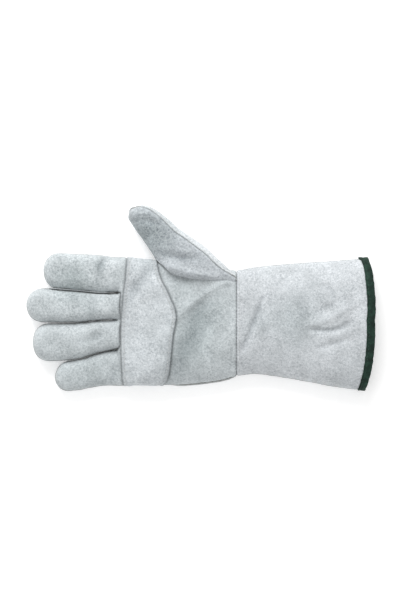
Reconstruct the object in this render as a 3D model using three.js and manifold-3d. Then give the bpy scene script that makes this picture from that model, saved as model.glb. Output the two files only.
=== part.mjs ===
// A welding gauntlet for the right hand, lying palm up: a split-leather hand in a Gunn cut, where the palm,
// the index front and the little-finger front are one piece and the two middle fingers have a front of their
// own, a one-piece back, a reinforcing patch across the palm, a welted thumb in two halves, and a flared cuff
// in two halves with a green tape bound over its hem. Fingers point to -X, the cuff opens to +X, the thumb
// lies towards +Y, and the glove rests on the floor on its flattened back. Millimetres, +Z up.

import * as THREE from "three";
import { mergeVertices } from "three/addons/utils/BufferGeometryUtils.js";
import Module from "manifold-3d";

const wasm = await Module();
wasm.setup();

// Leather, tape and the gaps between sewn pieces
const leather = 1.8;
const patchLeather = 1.5;
const tape = 0.9;
const gap = 0.3;

// The hand, from the seam at the finger roots to the wrist seam
const handLength = 116.5;
const handWidth = 128.2;
const knuckleThickness = 24;
const palmThickness = 31;
const wristWidth = 104;
const wristThickness = 29;
const webDepth = 2.4;
const rootCornerRadius = 5;

// The cuff, from the wrist seam to the middle of its hem
const cuffLength = 137.3;
const hemWidth = 132;
const hemThickness = 41;
const hemArc = 11;
const hemTilt = 1.5;
const bindingWidth = 7.4;

// The fingers
const fingerLength = 94.5;
const fingerThickness = 23;
const slit = 0.8;

// The thumb, from the wrist corner to its tip
const thumbLength = 117;
const thumbWidth = 46;
const thumbThickness = 26;
const thumbHeight = 16;
const thumbAngle = 133;
const thumbRoll = 23;
const seamRoll = 26;
const weltThickness = 1.6;
const weltProud = 1.6;
const weltDepth = 3;

// How far the round underside would reach below the floor if the floor did not flatten it
const pressed = 3;

// The side seam between palm side and back runs at this height above the floor
const seamHeights = [
  { along: -1, height: 0.42 },
  { along: 0, height: 0.46 },
  { along: 1, height: 0.5 },
  { along: 2, height: 0.62 },
];

// The hand, a row for each section: how far it has narrowed to the wrist, how far it has thickened from the
// knuckles to the palm, its middle, and how square its palm side is (2 is an ellipse, and more is squarer)
const handSections = [
  { along: 0.0, narrowed: 0.05, thickened: 0.0, middle: -0.175, square: 4.6 },
  { along: 0.18, narrowed: 0.19, thickened: 0.5, middle: -0.18, square: 3.8 },
  { along: 0.35, narrowed: 0.235, thickened: 0.85, middle: -0.189, square: 3.1 },
  { along: 0.52, narrowed: 0.322, thickened: 1.0, middle: -0.197, square: 2.7 },
  { along: 0.7, narrowed: 0.53, thickened: 1.0, middle: -0.201, square: 2.5 },
  { along: 0.86, narrowed: 0.752, thickened: 0.9, middle: -0.203, square: 2.4 },
  { along: 1.0, narrowed: 1.0, thickened: 0.72, middle: -0.191, square: 2.4 },
];

// The cuff, a row for each section: how far it has flared and thickened to the hem, and its middle
const cuffSections = [
  { along: 0.0, flared: 0.0, thickened: 0.0, middle: -0.191, square: 2.4 },
  { along: 0.15, flared: 0.072, thickened: 0.04, middle: -0.168, square: 2.35 },
  { along: 0.3, flared: 0.237, thickened: 0.18, middle: -0.17, square: 2.3 },
  { along: 0.48, flared: 0.453, thickened: 0.42, middle: -0.178, square: 2.3 },
  { along: 0.71, flared: 0.755, thickened: 0.75, middle: -0.191, square: 2.3 },
  { along: 0.91, flared: 0.98, thickened: 0.97, middle: -0.194, square: 2.3 },
  { along: 1.0, flared: 1.0, thickened: 1.0, middle: -0.195, square: 2.3 },
];

// The five lines that bound the fingers, as shares of the hand's width, at shares of the middle finger's
// length from the finger roots
const fingerLines = [
  { along: -0.3, outer: 0.318, first: 0.046, second: -0.164, third: -0.394, last: -0.678 },
  { along: 0.0, outer: 0.325, first: 0.047, second: -0.164, third: -0.395, last: -0.675 },
  { along: 0.22, outer: 0.344, first: 0.047, second: -0.17, third: -0.423, last: -0.686 },
  { along: 0.43, outer: 0.351, first: 0.061, second: -0.185, third: -0.47, last: -0.717 },
  { along: 0.64, outer: 0.358, first: 0.073, second: -0.189, third: -0.487, last: -0.73 },
  { along: 0.8, outer: 0.359, first: 0.083, second: -0.188, third: -0.488, last: -0.737 },
  { along: 1.02, outer: 0.359, first: 0.094, second: -0.184, third: -0.485, last: -0.742 },
];

// Each finger: the lines on its two sides, its length and height, and how long its rounded tip is
const fingers = [
  { name: "index", above: "outer", below: "first", length: 0.814, height: 0.97, tip: 0.17 },
  { name: "middle", above: "first", below: "second", length: 1.0, height: 1.04, tip: 0.2 },
  { name: "ring", above: "second", below: "third", length: 0.931, height: 1.0, tip: 0.19 },
  { name: "little", above: "third", below: "last", length: 0.697, height: 0.83, tip: 0.17 },
];

// The thumb, from the wrist corner to the tip: its inner and outer side across its own line, the height of
// its middle, its thickness, how far it is rolled, and how much further its seam is rolled
const thumbSections = [
  { along: -0.04, inner: -0.17, outer: 0.0, rise: 1.15, thickness: 0.5, roll: 0.0, seam: 1.9 },
  { along: 0.03, inner: -0.33, outer: 0.0, rise: 1.2, thickness: 0.6, roll: 0.0, seam: 1.9 },
  { along: 0.12, inner: -0.55, outer: -0.015, rise: 1.28, thickness: 0.72, roll: 0.0, seam: 1.7 },
  { along: 0.2, inner: -0.74, outer: -0.035, rise: 1.35, thickness: 0.82, roll: 0.0, seam: 1.3 },
  { along: 0.29, inner: -0.92, outer: -0.05, rise: 1.38, thickness: 0.92, roll: 0.05, seam: 1.0 },
  { along: 0.38, inner: -1.05, outer: -0.075, rise: 1.35, thickness: 1.0, roll: 0.2, seam: 0.95 },
  { along: 0.5, inner: -1.04, outer: -0.14, rise: 1.25, thickness: 1.0, roll: 0.5, seam: 0.95 },
  { along: 0.63, inner: -0.98, outer: -0.21, rise: 1.12, thickness: 0.96, roll: 0.85, seam: 0.9 },
  { along: 0.75, inner: -0.94, outer: -0.235, rise: 1.05, thickness: 0.9, roll: 1.0, seam: 0.7 },
  { along: 0.84, inner: -0.915, outer: -0.28, rise: 1.04, thickness: 0.82, roll: 1.0, seam: 0.55 },
  { along: 0.91, inner: -0.875, outer: -0.36, rise: 1.04, thickness: 0.72, roll: 1.0, seam: 0.45 },
  { along: 0.96, inner: -0.83, outer: -0.45, rise: 1.05, thickness: 0.58, roll: 1.0, seam: 0.35 },
  { along: 0.99, inner: -0.77, outer: -0.54, rise: 1.05, thickness: 0.38, roll: 1.0, seam: 0.3 },
];

// The patch's two edges, as shares of the hand's length, at shares of the hand's width
const patchEdges = [
  { across: 0.34, left: 0.055, right: 0.31 },
  { across: 0.24, left: 0.058, right: 0.32 },
  { across: 0.14, left: 0.042, right: 0.36 },
  { across: 0.04, left: 0.024, right: 0.43 },
  { across: -0.03, left: 0.018, right: 0.465 },
  { across: -0.1, left: 0.015, right: 0.484 },
  { across: -0.17, left: 0.015, right: 0.482 },
  { across: -0.26, left: 0.016, right: 0.452 },
  { across: -0.36, left: 0.016, right: 0.446 },
  { across: -0.48, left: 0.008, right: 0.43 },
  { across: -0.58, left: 0.01, right: 0.412 },
  { across: -0.66, left: 0.025, right: 0.375 },
  { across: -0.74, left: 0.03, right: 0.36 },
];

// Dents (positive) and ridges (negative) in the palm side: two ends along and across, then width and depth,
// all as shares, of the hand's length and width and of the palm's thickness
const palmFolds = [
  { name: "patch_dent", x0: 0.06, y0: 0.0, x1: 0.28, y1: 0.24, width: 0.3, depth: 0.07 },
  { name: "patch_ridge", x0: 0.16, y0: -0.02, x1: 0.34, y1: 0.14, width: 0.26, depth: -0.04 },
  { name: "palm_ridge", x0: 0.49, y0: -0.15, x1: 0.92, y1: 0.14, width: 0.2, depth: -0.07 },
  { name: "palm_valley", x0: 0.66, y0: -0.05, x1: 0.5, y1: -0.6, width: 0.42, depth: 0.13 },
  { name: "palm_heel", x0: 0.78, y0: -0.4, x1: 0.92, y1: -0.25, width: 0.55, depth: -0.05 },
  { name: "index_joint", x0: -0.13, y0: 0.33, x1: -0.2, y1: 0.1, width: 0.2, depth: 0.06 },
  { name: "middle_joint", x0: -0.24, y0: -0.02, x1: -0.28, y1: -0.16, width: 0.2, depth: 0.05 },
  { name: "ring_dent", x0: -0.16, y0: -0.26, x1: -0.38, y1: -0.38, width: 0.22, depth: 0.07 },
  { name: "little_joint", x0: -0.07, y0: -0.5, x1: -0.08, y1: -0.66, width: 0.16, depth: 0.06 },
  { name: "wrist_crease", x0: 1.05, y0: -0.43, x1: 1.22, y1: -0.02, width: 0.16, depth: 0.09 },
  { name: "cuff_ridge", x0: 1.56, y0: -0.17, x1: 1.95, y1: 0.02, width: 0.28, depth: -0.06 },
  { name: "cuff_dent", x0: 1.7, y0: -0.26, x1: 1.95, y1: -0.13, width: 0.28, depth: 0.1 },
  { name: "cuff_swell", x0: 1.75, y0: -0.38, x1: 2.0, y1: -0.28, width: 0.24, depth: -0.06 },
  { name: "hem_dent", x0: 1.75, y0: 0.16, x1: 1.88, y1: 0.08, width: 0.2, depth: 0.06 },
];

// Creases across the thumb's front: where along it, how steeply they cross it, width and depth
const thumbFolds = [
  { name: "tip_dent", along: 0.88, slant: 0.45, width: 0.05, depth: 0.1 },
  { name: "joint_dent", along: 0.56, slant: 0.55, width: 0.06, depth: 0.12 },
  { name: "root_swell", along: 0.41, slant: 0.55, width: 0.06, depth: -0.08 },
];

// How square the other cross-sections are, by the same measure as the hand's
const fingerSquare = 2.3;
const underSquare = 2.8;
const thumbSquare = 2.15;

// How many facets go round and along each piece
const sleeveFacets = 34;
const fingerFacets = 14;
const thumbFacets = 16;
const handSteps = 8;
const cuffSteps = 8;
const fingerSteps = 5;
const tipSteps = 4;
const edgeSteps = 13;
const seamSteps = 16;

const rootX = 0;
const wristX = handLength;
const seamUnit = fingerThickness;
const far = 4 * (handLength + cuffLength + fingerLength);

// Smooth values between the rows of a table, and the row before and after along
function smoothRow(rows, key, at, by = "along") {
  const order = rows[0][by] < rows[rows.length - 1][by] ? rows : [...rows].reverse();
  const last = order.length - 1;
  if (at <= order[0][by]) return order[0][key];
  if (at >= order[last][by]) return order[last][key];
  const i = order.findIndex((row) => row[by] > at) - 1;
  const slope = (k) => {
    const before = order[Math.max(k - 1, 0)];
    const after = order[Math.min(k + 1, last)];
    return (after[key] - before[key]) / (after[by] - before[by]);
  };
  const span = order[i + 1][by] - order[i][by];
  const t = (at - order[i][by]) / span;
  const bend = t * t * (3 - 2 * t);
  return (
    order[i][key] * (1 - bend) +
    order[i + 1][key] * bend +
    slope(i) * span * t * (1 - t) * (1 - t) -
    slope(i + 1) * span * t * t * (1 - t)
  );
}

const mix = (a, b, share) => a + (b - a) * share;
const between = (from, to, steps) => Array.from({ length: steps + 1 }, (_, i) => mix(from, to, i / steps));
const signedPower = (value, power) => Math.sign(value) * Math.abs(value) ** power;

// Where x lies: -1 at the fingertips, 0 at the finger roots, 1 at the wrist seam, 2 at the hem
function stretch(x) {
  if (x < rootX) return (x - rootX) / fingerLength;
  if (x < wristX) return (x - rootX) / handLength;
  return 1 + (x - wristX) / cuffLength;
}

const seamHeight = (x) => seamUnit * smoothRow(seamHeights, "height", stretch(x));

// How much lower the palm side lies at a point because of its folds
function palmRelief(x, y) {
  const along = x < wristX ? (x - rootX) / handLength : stretch(x);
  const point = new THREE.Vector2(along * handLength, y);
  let lower = 0;
  for (const fold of palmFolds) {
    const from = new THREE.Vector2(fold.x0 * handLength, fold.y0 * handWidth);
    const to = new THREE.Vector2(fold.x1 * handLength, fold.y1 * handWidth);
    const line = to.clone().sub(from);
    const t = THREE.MathUtils.clamp(point.clone().sub(from).dot(line) / line.lengthSq(), 0, 1);
    const away = point.distanceTo(from.addScaledVector(line, t)) / (fold.width * palmThickness);
    lower += fold.depth * palmThickness * Math.exp(-away * away);
  }
  return lower;
}

// A closed solid through a list of rings: a ring of one point is a tip, and an open end is capped flat
function loft(rings) {
  const points = [];
  const faces = [];
  const starts = rings.map((ring) => points.push(...ring) - ring.length);
  for (let i = 0; i + 1 < rings.length; i++) {
    const [a, b] = [rings[i].length, rings[i + 1].length];
    const around = Math.max(a, b);
    for (let k = 0; k < around; k++) {
      const next = (k + 1) % around;
      const [p, q, r, s] = [starts[i] + k, starts[i] + next, starts[i + 1] + next, starts[i + 1] + k];
      if (a === 1) faces.push([starts[i], r, s]);
      else if (b === 1) faces.push([p, q, starts[i + 1]]);
      else faces.push([p, q, r], [p, r, s]);
    }
  }
  const ends = [
    [rings[0], starts[0], true],
    [rings[rings.length - 1], starts[rings.length - 1], false],
  ];
  for (const [ring, start, first] of ends) {
    if (ring.length === 1) continue;
    const middle = ring.reduce((sum, p) => sum.add(p), new THREE.Vector3()).divideScalar(ring.length);
    const centre = points.push(middle) - 1;
    ring.forEach((_, k) => {
      const next = (k + 1) % ring.length;
      faces.push(first ? [centre, start + next, start + k] : [centre, start + k, start + next]);
    });
  }
  const geometry = new THREE.BufferGeometry().setFromPoints(points);
  geometry.setIndex(faces.flat());
  const made = solidOf(geometry);
  if (made.volume() > 0) return made;
  geometry.setIndex(faces.flatMap(([p, q, r]) => [p, r, q]));
  return solidOf(geometry);
}

// A three.js geometry as a manifold solid
function solidOf(geometry) {
  const bare = geometry.clone();
  bare.deleteAttribute("normal");
  bare.deleteAttribute("uv");
  const merged = mergeVertices(bare, 1e-4);
  return new wasm.Manifold(
    new wasm.Mesh({
      numProp: 3,
      vertProperties: merged.attributes.position.array,
      triVerts: new Uint32Array(merged.index.array),
    }),
  );
}

const unite = (solids) => solids.reduce((all, one) => all.add(one));
const largest = (solid) => solid.decompose().sort((a, b) => b.volume() - a.volume())[0];

// One cross-section, round above the side seam and pressed flat on the floor below it
function ring({ facets, square, inset, middle, halfWidth, top, seam, floor = 0, place, relief }) {
  return Array.from({ length: facets }, (_, k) => {
    const turn = (2 * Math.PI * k) / facets;
    const power = 2 / (Math.sin(turn) >= 0 ? square : underSquare);
    const across = signedPower(Math.cos(turn), power);
    const up = signedPower(Math.sin(turn), power);
    const y = middle + (halfWidth - inset) * across;
    const rise = up >= 0 ? (top - inset - seam) * up : (seam - floor + pressed - inset) * up;
    const point = place(across, y, Math.max(seam + rise, floor + inset));
    if (up > 0 && relief) point.z -= relief(point.x, point.y) * up;
    return point;
  });
}

// The hand and the cuff are one sleeve until they are cut at the wrist seam. x is the station, inset moves
// every face inwards, and the hem is raised so that the tape under it lies on the floor
function sleeveRing(x, inset) {
  const inHand = x <= wristX;
  const along = inHand ? (x - rootX) / handLength : (x - wristX) / cuffLength;
  const rows = inHand ? handSections : cuffSections;
  const thick = smoothRow(rows, "thickened", along);
  const width = inHand
    ? mix(handWidth, wristWidth, smoothRow(rows, "narrowed", along))
    : mix(wristWidth, hemWidth, smoothRow(rows, "flared", along));
  const bulk = palmThickness - knuckleThickness;
  const wristShare = handSections[handSections.length - 1].thickened;
  const wristDrop = wristThickness - knuckleThickness - bulk * wristShare;
  const handTop = knuckleThickness + bulk * thick + wristDrop * Math.max(along, 0);
  const top = inHand ? handTop : mix(wristThickness, hemThickness, thick);
  const bow = inHand ? 0 : Math.min(along, 1);
  const raised = THREE.MathUtils.clamp((x - wristX) / (cuffLength - bindingWidth), 0, 1);
  const round = THREE.MathUtils.clamp((x - rootX + webDepth) / (2 * webDepth), 0, 1);
  const blunt = mix(0.82, 1, Math.sqrt(round));
  return ring({
    facets: sleeveFacets,
    square: smoothRow(rows, "square", along),
    inset,
    middle: handWidth * smoothRow(rows, "middle", along),
    halfWidth: width / 2,
    top: top * blunt,
    seam: seamHeight(x),
    floor: raised * (gap + tape),
    place: (across, y, z) => {
      const back = hemArc * Math.abs(across) ** 3 - hemTilt * across;
      return new THREE.Vector3(x - bow * back, y, z);
    },
    relief: palmRelief,
  });
}

const sleeve = (stations, inset) => loft(stations.map((x) => sleeveRing(x, inset)));

// A finger: from inside the hand to its rounded tip
function finger({ above, below, length, height, tip }, inset, reach) {
  const tipLength = tip * fingerLength;
  const long = length * fingerLength;
  const top = height * fingerThickness;
  const section = (along) => {
    const away = along * fingerLength;
    const high = handWidth * smoothRow(fingerLines, above, along);
    const low = handWidth * smoothRow(fingerLines, below, along);
    const beyond = Math.max(0, away - (long - tipLength)) / tipLength;
    const round = Math.sqrt(Math.max(0, 1 - beyond ** 2.4));
    const seam = seamHeight(rootX - away);
    return { away, high, low, round, seam };
  };
  const rings = [];
  const shaft = (long - tipLength) / fingerLength;
  for (let i = 0; i <= fingerSteps; i++) rings.push(mix(-reach / fingerLength, shaft, i / fingerSteps));
  for (let i = 1; i < tipSteps; i++) {
    rings.push(shaft + (tip - inset / fingerLength) * Math.sin((Math.PI * i) / (2 * tipSteps)));
  }
  const made = rings.map((along) => {
    const { away, high, low, round, seam } = section(along);
    const narrow = inset + slit / 2;
    return ring({
      facets: fingerFacets,
      square: fingerSquare,
      inset: 0,
      middle: (high + low) / 2,
      halfWidth: ((high - low) / 2) * round - narrow,
      top: seam + (top - seam) * Math.sqrt(round) - inset,
      seam,
      floor: inset + 0.4 * seam * (1 - round),
      place: (across, y, z) => new THREE.Vector3(rootX - away, y, z),
      relief: palmRelief,
    });
  });
  const end = section(length - inset / fingerLength);
  made.push([new THREE.Vector3(rootX - long + inset, (end.high + end.low) / 2, end.seam)]);
  return loft(made);
}

// The thumb's own frame: its base at the wrist corner, its line, and the direction across it
const wristTop = handWidth * handSections[handSections.length - 1].middle + wristWidth / 2;
const thumbBase = new THREE.Vector2(wristX - leather, wristTop - 2 * leather);
const thumbTurn = THREE.MathUtils.degToRad(thumbAngle);
const thumbLine = new THREE.Vector2(Math.cos(thumbTurn), Math.sin(thumbTurn));
const thumbAcross = new THREE.Vector2(-thumbLine.y, thumbLine.x).negate();

function thumbPoint(along, across, z) {
  const flat = thumbBase.clone().addScaledVector(thumbLine, along).addScaledVector(thumbAcross, across);
  return new THREE.Vector3(flat.x, flat.y, z);
}

function thumbRelief(along, across) {
  return thumbFolds.reduce((sum, fold) => {
    const away = (along + fold.slant * across) / thumbLength - fold.along;
    return sum + fold.depth * thumbThickness * Math.exp(-((away / fold.width) ** 2));
  }, 0);
}

// The thumb's section at a share of its length: its middle, its half width and its two slopes, which are the
// roll that makes its front face the palm and the roll of its seam
function thumbSection(share) {
  const value = (key) => smoothRow(thumbSections, key, share);
  const roll = THREE.MathUtils.degToRad(thumbRoll * value("roll"));
  return {
    middle: (thumbWidth * (value("inner") + value("outer"))) / 2,
    halfWidth: (thumbWidth * (value("outer") - value("inner"))) / 2,
    height: thumbHeight * value("rise"),
    halfThickness: (thumbThickness * value("thickness")) / 2,
    slope: Math.tan(roll),
    seamTurn: roll + THREE.MathUtils.degToRad(seamRoll * value("seam")),
  };
}

const thumbStart = thumbSections[0].along;
const thumbEnd = thumbSections[thumbSections.length - 1].along;

// The thumb is flattened where it would reach below the floor
function thumb(inset) {
  const ends = inset / thumbLength;
  const made = thumbSections.map((row) => {
    const share = mix(thumbStart + ends, thumbEnd - ends, (row.along - thumbStart) / (thumbEnd - thumbStart));
    const { middle, halfWidth, height, halfThickness, slope } = thumbSection(share);
    return Array.from({ length: thumbFacets }, (_, k) => {
      const turn = (2 * Math.PI * k) / thumbFacets;
      const out = Math.max(halfWidth - inset, leather / 4) * signedPower(Math.cos(turn), 2 / thumbSquare);
      const up = signedPower(Math.sin(turn), 2 / thumbSquare);
      const lower = up > 0 ? thumbRelief(share * thumbLength, middle + out) * up : 0;
      const z = height + Math.max(halfThickness - inset, leather / 4) * up + slope * out - lower;
      return thumbPoint(share * thumbLength, middle + out, Math.max(z, inset));
    });
  });
  const point = (share, beyond) => {
    const { middle, height } = thumbSection(share);
    return [thumbPoint(share * thumbLength + beyond, middle, height)];
  };
  const beyond = leather / 2;
  return loft([point(thumbStart + ends, -beyond), ...made, point(thumbEnd - ends, beyond)]);
}

// A slab along the thumb's seam, from low to high above it, and outwards from a place across it
const thumbWide = 0.8 * thumbWidth;

function thumbSlab(low, high, from = -thumbWide) {
  return loft(
    between(thumbStart - 0.2, thumbEnd + 0.1, seamSteps).map((share) => {
      const { middle, height, seamTurn } = thumbSection(share);
      const corner = (out, up) => {
        const across = middle + out * Math.cos(seamTurn) - up * Math.sin(seamTurn);
        const z = height + out * Math.sin(seamTurn) + up * Math.cos(seamTurn);
        return thumbPoint(share * thumbLength, across, z);
      };
      const lower = between(from, thumbWide, 8).map((out) => corner(out, low));
      const upper = between(thumbWide, from, 8).map((out) => corner(out, high));
      return [...lower, ...upper];
    }),
  );
}

// A block over a plan outline, tall enough to cut right through
function planBlock(outline, bottom = -far, top = far) {
  const shape = new THREE.Shape(outline);
  const geometry = new THREE.ExtrudeGeometry(shape, { depth: top - bottom, bevelEnabled: false });
  geometry.translate(0, 0, bottom);
  return solidOf(geometry);
}

// Everything above (1) or below (-1) the side seam, half a gap clear of it
function seamSide(side) {
  const stations = between(rootX - 1.2 * fingerLength, wristX + 1.2 * cuffLength, 12);
  const outline = stations.map((x) => new THREE.Vector2(x, seamHeight(x) + (side * gap) / 2));
  outline.push(new THREE.Vector2(stations[12], side * far), new THREE.Vector2(stations[0], side * far));
  const geometry = new THREE.ExtrudeGeometry(new THREE.Shape(outline), { depth: 2 * far, bevelEnabled: false });
  geometry.rotateX(Math.PI / 2).translate(0, far, 0);
  return solidOf(geometry);
}

const palmSide = seamSide(1);
const backSide = seamSide(-1);

// The plan outline of the two middle fingers' front, whose straight seam ends in a rounded corner
function twoFingerOutline(spare) {
  const steps = between(0, 1.3, edgeSteps);
  const line = (key, side) => (along) => {
    const across = handWidth * smoothRow(fingerLines, key, along);
    return new THREE.Vector2(rootX - along * fingerLength, across + side * spare);
  };
  const upper = steps.map(line("first", 1));
  const lower = steps.map(line("third", -1));
  const [high, low] = [upper[0].y, lower[0].y];
  const corner = new THREE.QuadraticBezierCurve(
    new THREE.Vector2(rootX - rootCornerRadius, low),
    new THREE.Vector2(rootX + spare, low),
    new THREE.Vector2(rootX + spare, low + rootCornerRadius),
  ).getPoints(4);
  const left = lower.filter((p) => p.x < rootX - 1.2 * rootCornerRadius);
  return [...upper.slice(1).reverse(), new THREE.Vector2(rootX + spare, high), ...corner.reverse(), ...left];
}

// The patch's plan outline, grown by spare
function patchOutline(spare) {
  const rows = patchEdges;
  const across = between(rows[0].across, rows[rows.length - 1].across, edgeSteps);
  const edge = (key, side) => (y) =>
    new THREE.Vector2(rootX + handLength * smoothRow(rows, key, y, "across") + side * spare, y * handWidth);
  return [...across.map(edge("left", -1)), ...across.map(edge("right", 1)).reverse()];
}

// Outer and inner form of the hand with its fingers. The hollows run on into each other
const webStations = [rootX - webDepth, rootX - webDepth + leather, rootX + webDepth];
const handStations = [...webStations, ...between(handLength / handSteps, wristX, handSteps - 1)];
const handOuter = sleeve(handStations, 0);
const handHollow = sleeve([...handStations.slice(1), wristX + leather], leather);
const fingerOuter = unite(fingers.map((each) => finger(each, 0, webDepth)));
const fingerHollow = unite(fingers.map((each) => finger(each, leather, webDepth / 2)));
const thumbOuter = thumb(0);
const thumbHollow = thumb(leather);
const skin = unite([handOuter, fingerOuter]).subtract(unite([handHollow, fingerHollow, thumbHollow]));
const beforeWrist = solidOf(new THREE.BoxGeometry(far, far, far).translate(wristX - (gap + far) / 2, 0, 0));
const handSkin = skin.intersect(beforeWrist);

const twoFingers = planBlock(twoFingerOutline(-gap / 2));
const twoFingersRoom = planBlock(twoFingerOutline(gap / 2));
const palmPanel = largest(handSkin.intersect(palmSide).subtract(twoFingersRoom));
const middleRingFront = largest(handSkin.intersect(palmSide).intersect(twoFingers));
const backPanel = largest(handSkin.intersect(backSide));

// The patch lies on the palm, and the thumb is cut clear of both
const fingersClear = fingers.map((each) => finger(each, -gap, webDepth + gap));
const handClear = unite([sleeve(handStations, -gap), ...fingersClear]);
const patchForm = sleeve(handStations, -gap - patchLeather);
const patchRoom = sleeve(handStations, -2 * gap - patchLeather);
const thumbRoom = unite([handClear, patchRoom.intersect(planBlock(patchOutline(gap)))]);
const palmPatch = largest(
  patchForm.subtract(handClear).intersect(palmSide).intersect(planBlock(patchOutline(0))),
);

// The thumb is parted along its seam, with the welt between its halves on the outer side
const thumbSkin = thumbOuter.subtract(thumbHollow).subtract(thumbRoom).intersect(beforeWrist);
const halfWelt = weltThickness / 2;
const thumbHalves = thumbSkin.subtract(thumbSlab(-halfWelt - gap, halfWelt + gap));
const thumbFront = largest(thumbHalves.intersect(thumbSlab(0, thumbWide)));
const thumbBack = largest(thumbHalves.intersect(thumbSlab(-thumbWide, 0)));
const thumbWelt = largest(
  thumb(-weltProud)
    .subtract(thumb(weltDepth))
    .subtract(thumbRoom)
    .intersect(thumbSlab(-halfWelt, halfWelt))
    .intersect(thumbSlab(-thumbWide, thumbWide, 0))
    .intersect(beforeWrist),
);

// The cuff's two halves, and the tape folded over its hem
const hemX = wristX + cuffLength;
const tapeStart = hemX - bindingWidth;
const cuffStations = [...between(wristX + gap / 2, tapeStart, cuffSteps), hemX];
const cuffRoom = sleeve([wristX - leather, ...cuffStations, hemX + leather], leather);
const cuffSkin = sleeve(cuffStations, 0).subtract(cuffRoom);
const cuffFront = cuffSkin.intersect(palmSide);
const cuffBack = cuffSkin.intersect(backSide);

const tapeEnd = hemX + gap + tape;
const tapeForm = sleeve([tapeStart, hemX, tapeEnd], -gap - tape);
const tapeRoom = sleeve([tapeStart - bindingWidth, tapeStart, hemX, tapeEnd + bindingWidth], leather + gap + tape);
const hemForm = sleeve([tapeStart - bindingWidth, tapeStart, hemX, hemX + gap], -gap);
const hemRoom = sleeve([tapeStart - 2 * bindingWidth, tapeStart, hemX, hemX + tape], leather + gap);
const cuffBinding = largest(tapeForm.subtract(tapeRoom).subtract(hemForm.subtract(hemRoom)));

const splitLeather = new THREE.MeshStandardMaterial({ color: "#c6cbce", roughness: 0.95, metalness: 0 });
const patchSplit = new THREE.MeshStandardMaterial({ color: "#cacfd3", roughness: 0.95, metalness: 0 });
const greenTape = new THREE.MeshStandardMaterial({ color: "#30433b", roughness: 0.85, metalness: 0 });

const gauntlet = new THREE.Group();
function addPiece(name, solid, material) {
  const { vertProperties, triVerts } = solid.getMesh();
  const geometry = new THREE.BufferGeometry();
  geometry.setAttribute("position", new THREE.BufferAttribute(new Float32Array(vertProperties), 3));
  geometry.setIndex(new THREE.BufferAttribute(new Uint32Array(triVerts), 1));
  geometry.computeVertexNormals();
  const mesh = new THREE.Mesh(geometry, material);
  mesh.name = name;
  gauntlet.add(mesh);
}

addPiece("back_panel", backPanel, splitLeather);
addPiece("palm_panel", palmPanel, splitLeather);
addPiece("middle_ring_front", middleRingFront, splitLeather);
addPiece("palm_patch", palmPatch, patchSplit);
addPiece("thumb_front", thumbFront, splitLeather);
addPiece("thumb_back", thumbBack, splitLeather);
addPiece("thumb_welt", thumbWelt, splitLeather);
addPiece("cuff_front", cuffFront, splitLeather);
addPiece("cuff_back", cuffBack, splitLeather);
addPiece("cuff_binding", cuffBinding, greenTape);

// The origin is the middle of the glove's footprint, on the floor
const box = new THREE.Box3().setFromObject(gauntlet);
const middle = box.getCenter(new THREE.Vector3());
gauntlet.position.set(-middle.x, -middle.y, -box.min.z);

export default gauntlet;
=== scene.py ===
import math

import bpy
import numpy as np
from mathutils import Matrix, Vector
from mathutils.bvhtree import BVHTree


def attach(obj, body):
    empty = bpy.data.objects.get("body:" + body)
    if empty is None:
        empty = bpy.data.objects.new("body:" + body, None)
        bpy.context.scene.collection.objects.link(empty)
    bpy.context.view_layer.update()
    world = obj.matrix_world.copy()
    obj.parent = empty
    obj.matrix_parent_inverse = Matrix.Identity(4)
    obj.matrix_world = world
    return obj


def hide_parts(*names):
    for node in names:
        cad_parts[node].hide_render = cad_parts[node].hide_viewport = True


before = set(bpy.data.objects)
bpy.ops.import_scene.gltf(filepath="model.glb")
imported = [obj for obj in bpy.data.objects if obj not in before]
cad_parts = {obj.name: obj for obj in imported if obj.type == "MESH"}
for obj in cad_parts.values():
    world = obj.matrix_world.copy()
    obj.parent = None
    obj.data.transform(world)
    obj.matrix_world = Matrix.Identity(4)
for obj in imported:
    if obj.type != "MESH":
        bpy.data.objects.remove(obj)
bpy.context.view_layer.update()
print("frame loaded")

# Shape shared by all pieces
glove = dict(
    leather=1.7,  # thickness of the split leather
    pressed=3.0,  # how far the underside would reach below the floor
    underSquare=2.8,  # squareness of the underside's corners, 2 is an ellipse
    spacing=1.15,  # mesh size
    origin=(-80.36, -0.734),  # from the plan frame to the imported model's frame
)

hand = dict(
    length=116.5,
    width=128.2,
    wristWidth=104.0,
    knuckleThickness=24.0,
    palmThickness=31.0,
    wristThickness=29.0,
    web=2.4,  # how far it rounds off beyond the finger roots
    along=[0.0, 0.18, 0.35, 0.52, 0.7, 0.86, 1.0],
    narrowed=[0.05, 0.19, 0.235, 0.322, 0.53, 0.752, 1.0],
    thickened=[0.0, 0.5, 0.85, 1.0, 1.0, 0.9, 0.72],
    middle=[-22.4, -23.1, -24.2, -25.3, -25.8, -26.0, -24.5],
    square=[4.6, 3.8, 3.1, 2.7, 2.5, 2.4, 2.4],
)

cuff = dict(
    length=136.4,
    hemWidth=129.8,
    hemThickness=41.0,
    arc=7.0,  # how far the hem's corners lie behind its middle
    tilt=1.5,
    lift=1.2,  # the hem lies on its tape
    taped=7.4,  # how much of it does
    along=[0.0, 0.15, 0.3, 0.48, 0.71, 0.91, 1.0],
    flared=[0.0, 0.072, 0.237, 0.453, 0.755, 0.98, 1.0],
    thickened=[0.0, 0.04, 0.18, 0.42, 0.75, 0.97, 1.0],
    middle=[-24.5, -21.5, -21.8, -22.8, -24.7, -25.5, -25.7],
    square=[2.4, 2.35, 2.3, 2.3, 2.3, 2.3, 2.3],
)

seam = dict(along=[-1.0, 0.0, 1.0, 2.0], height=[9.7, 10.6, 11.5, 14.3])

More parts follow.
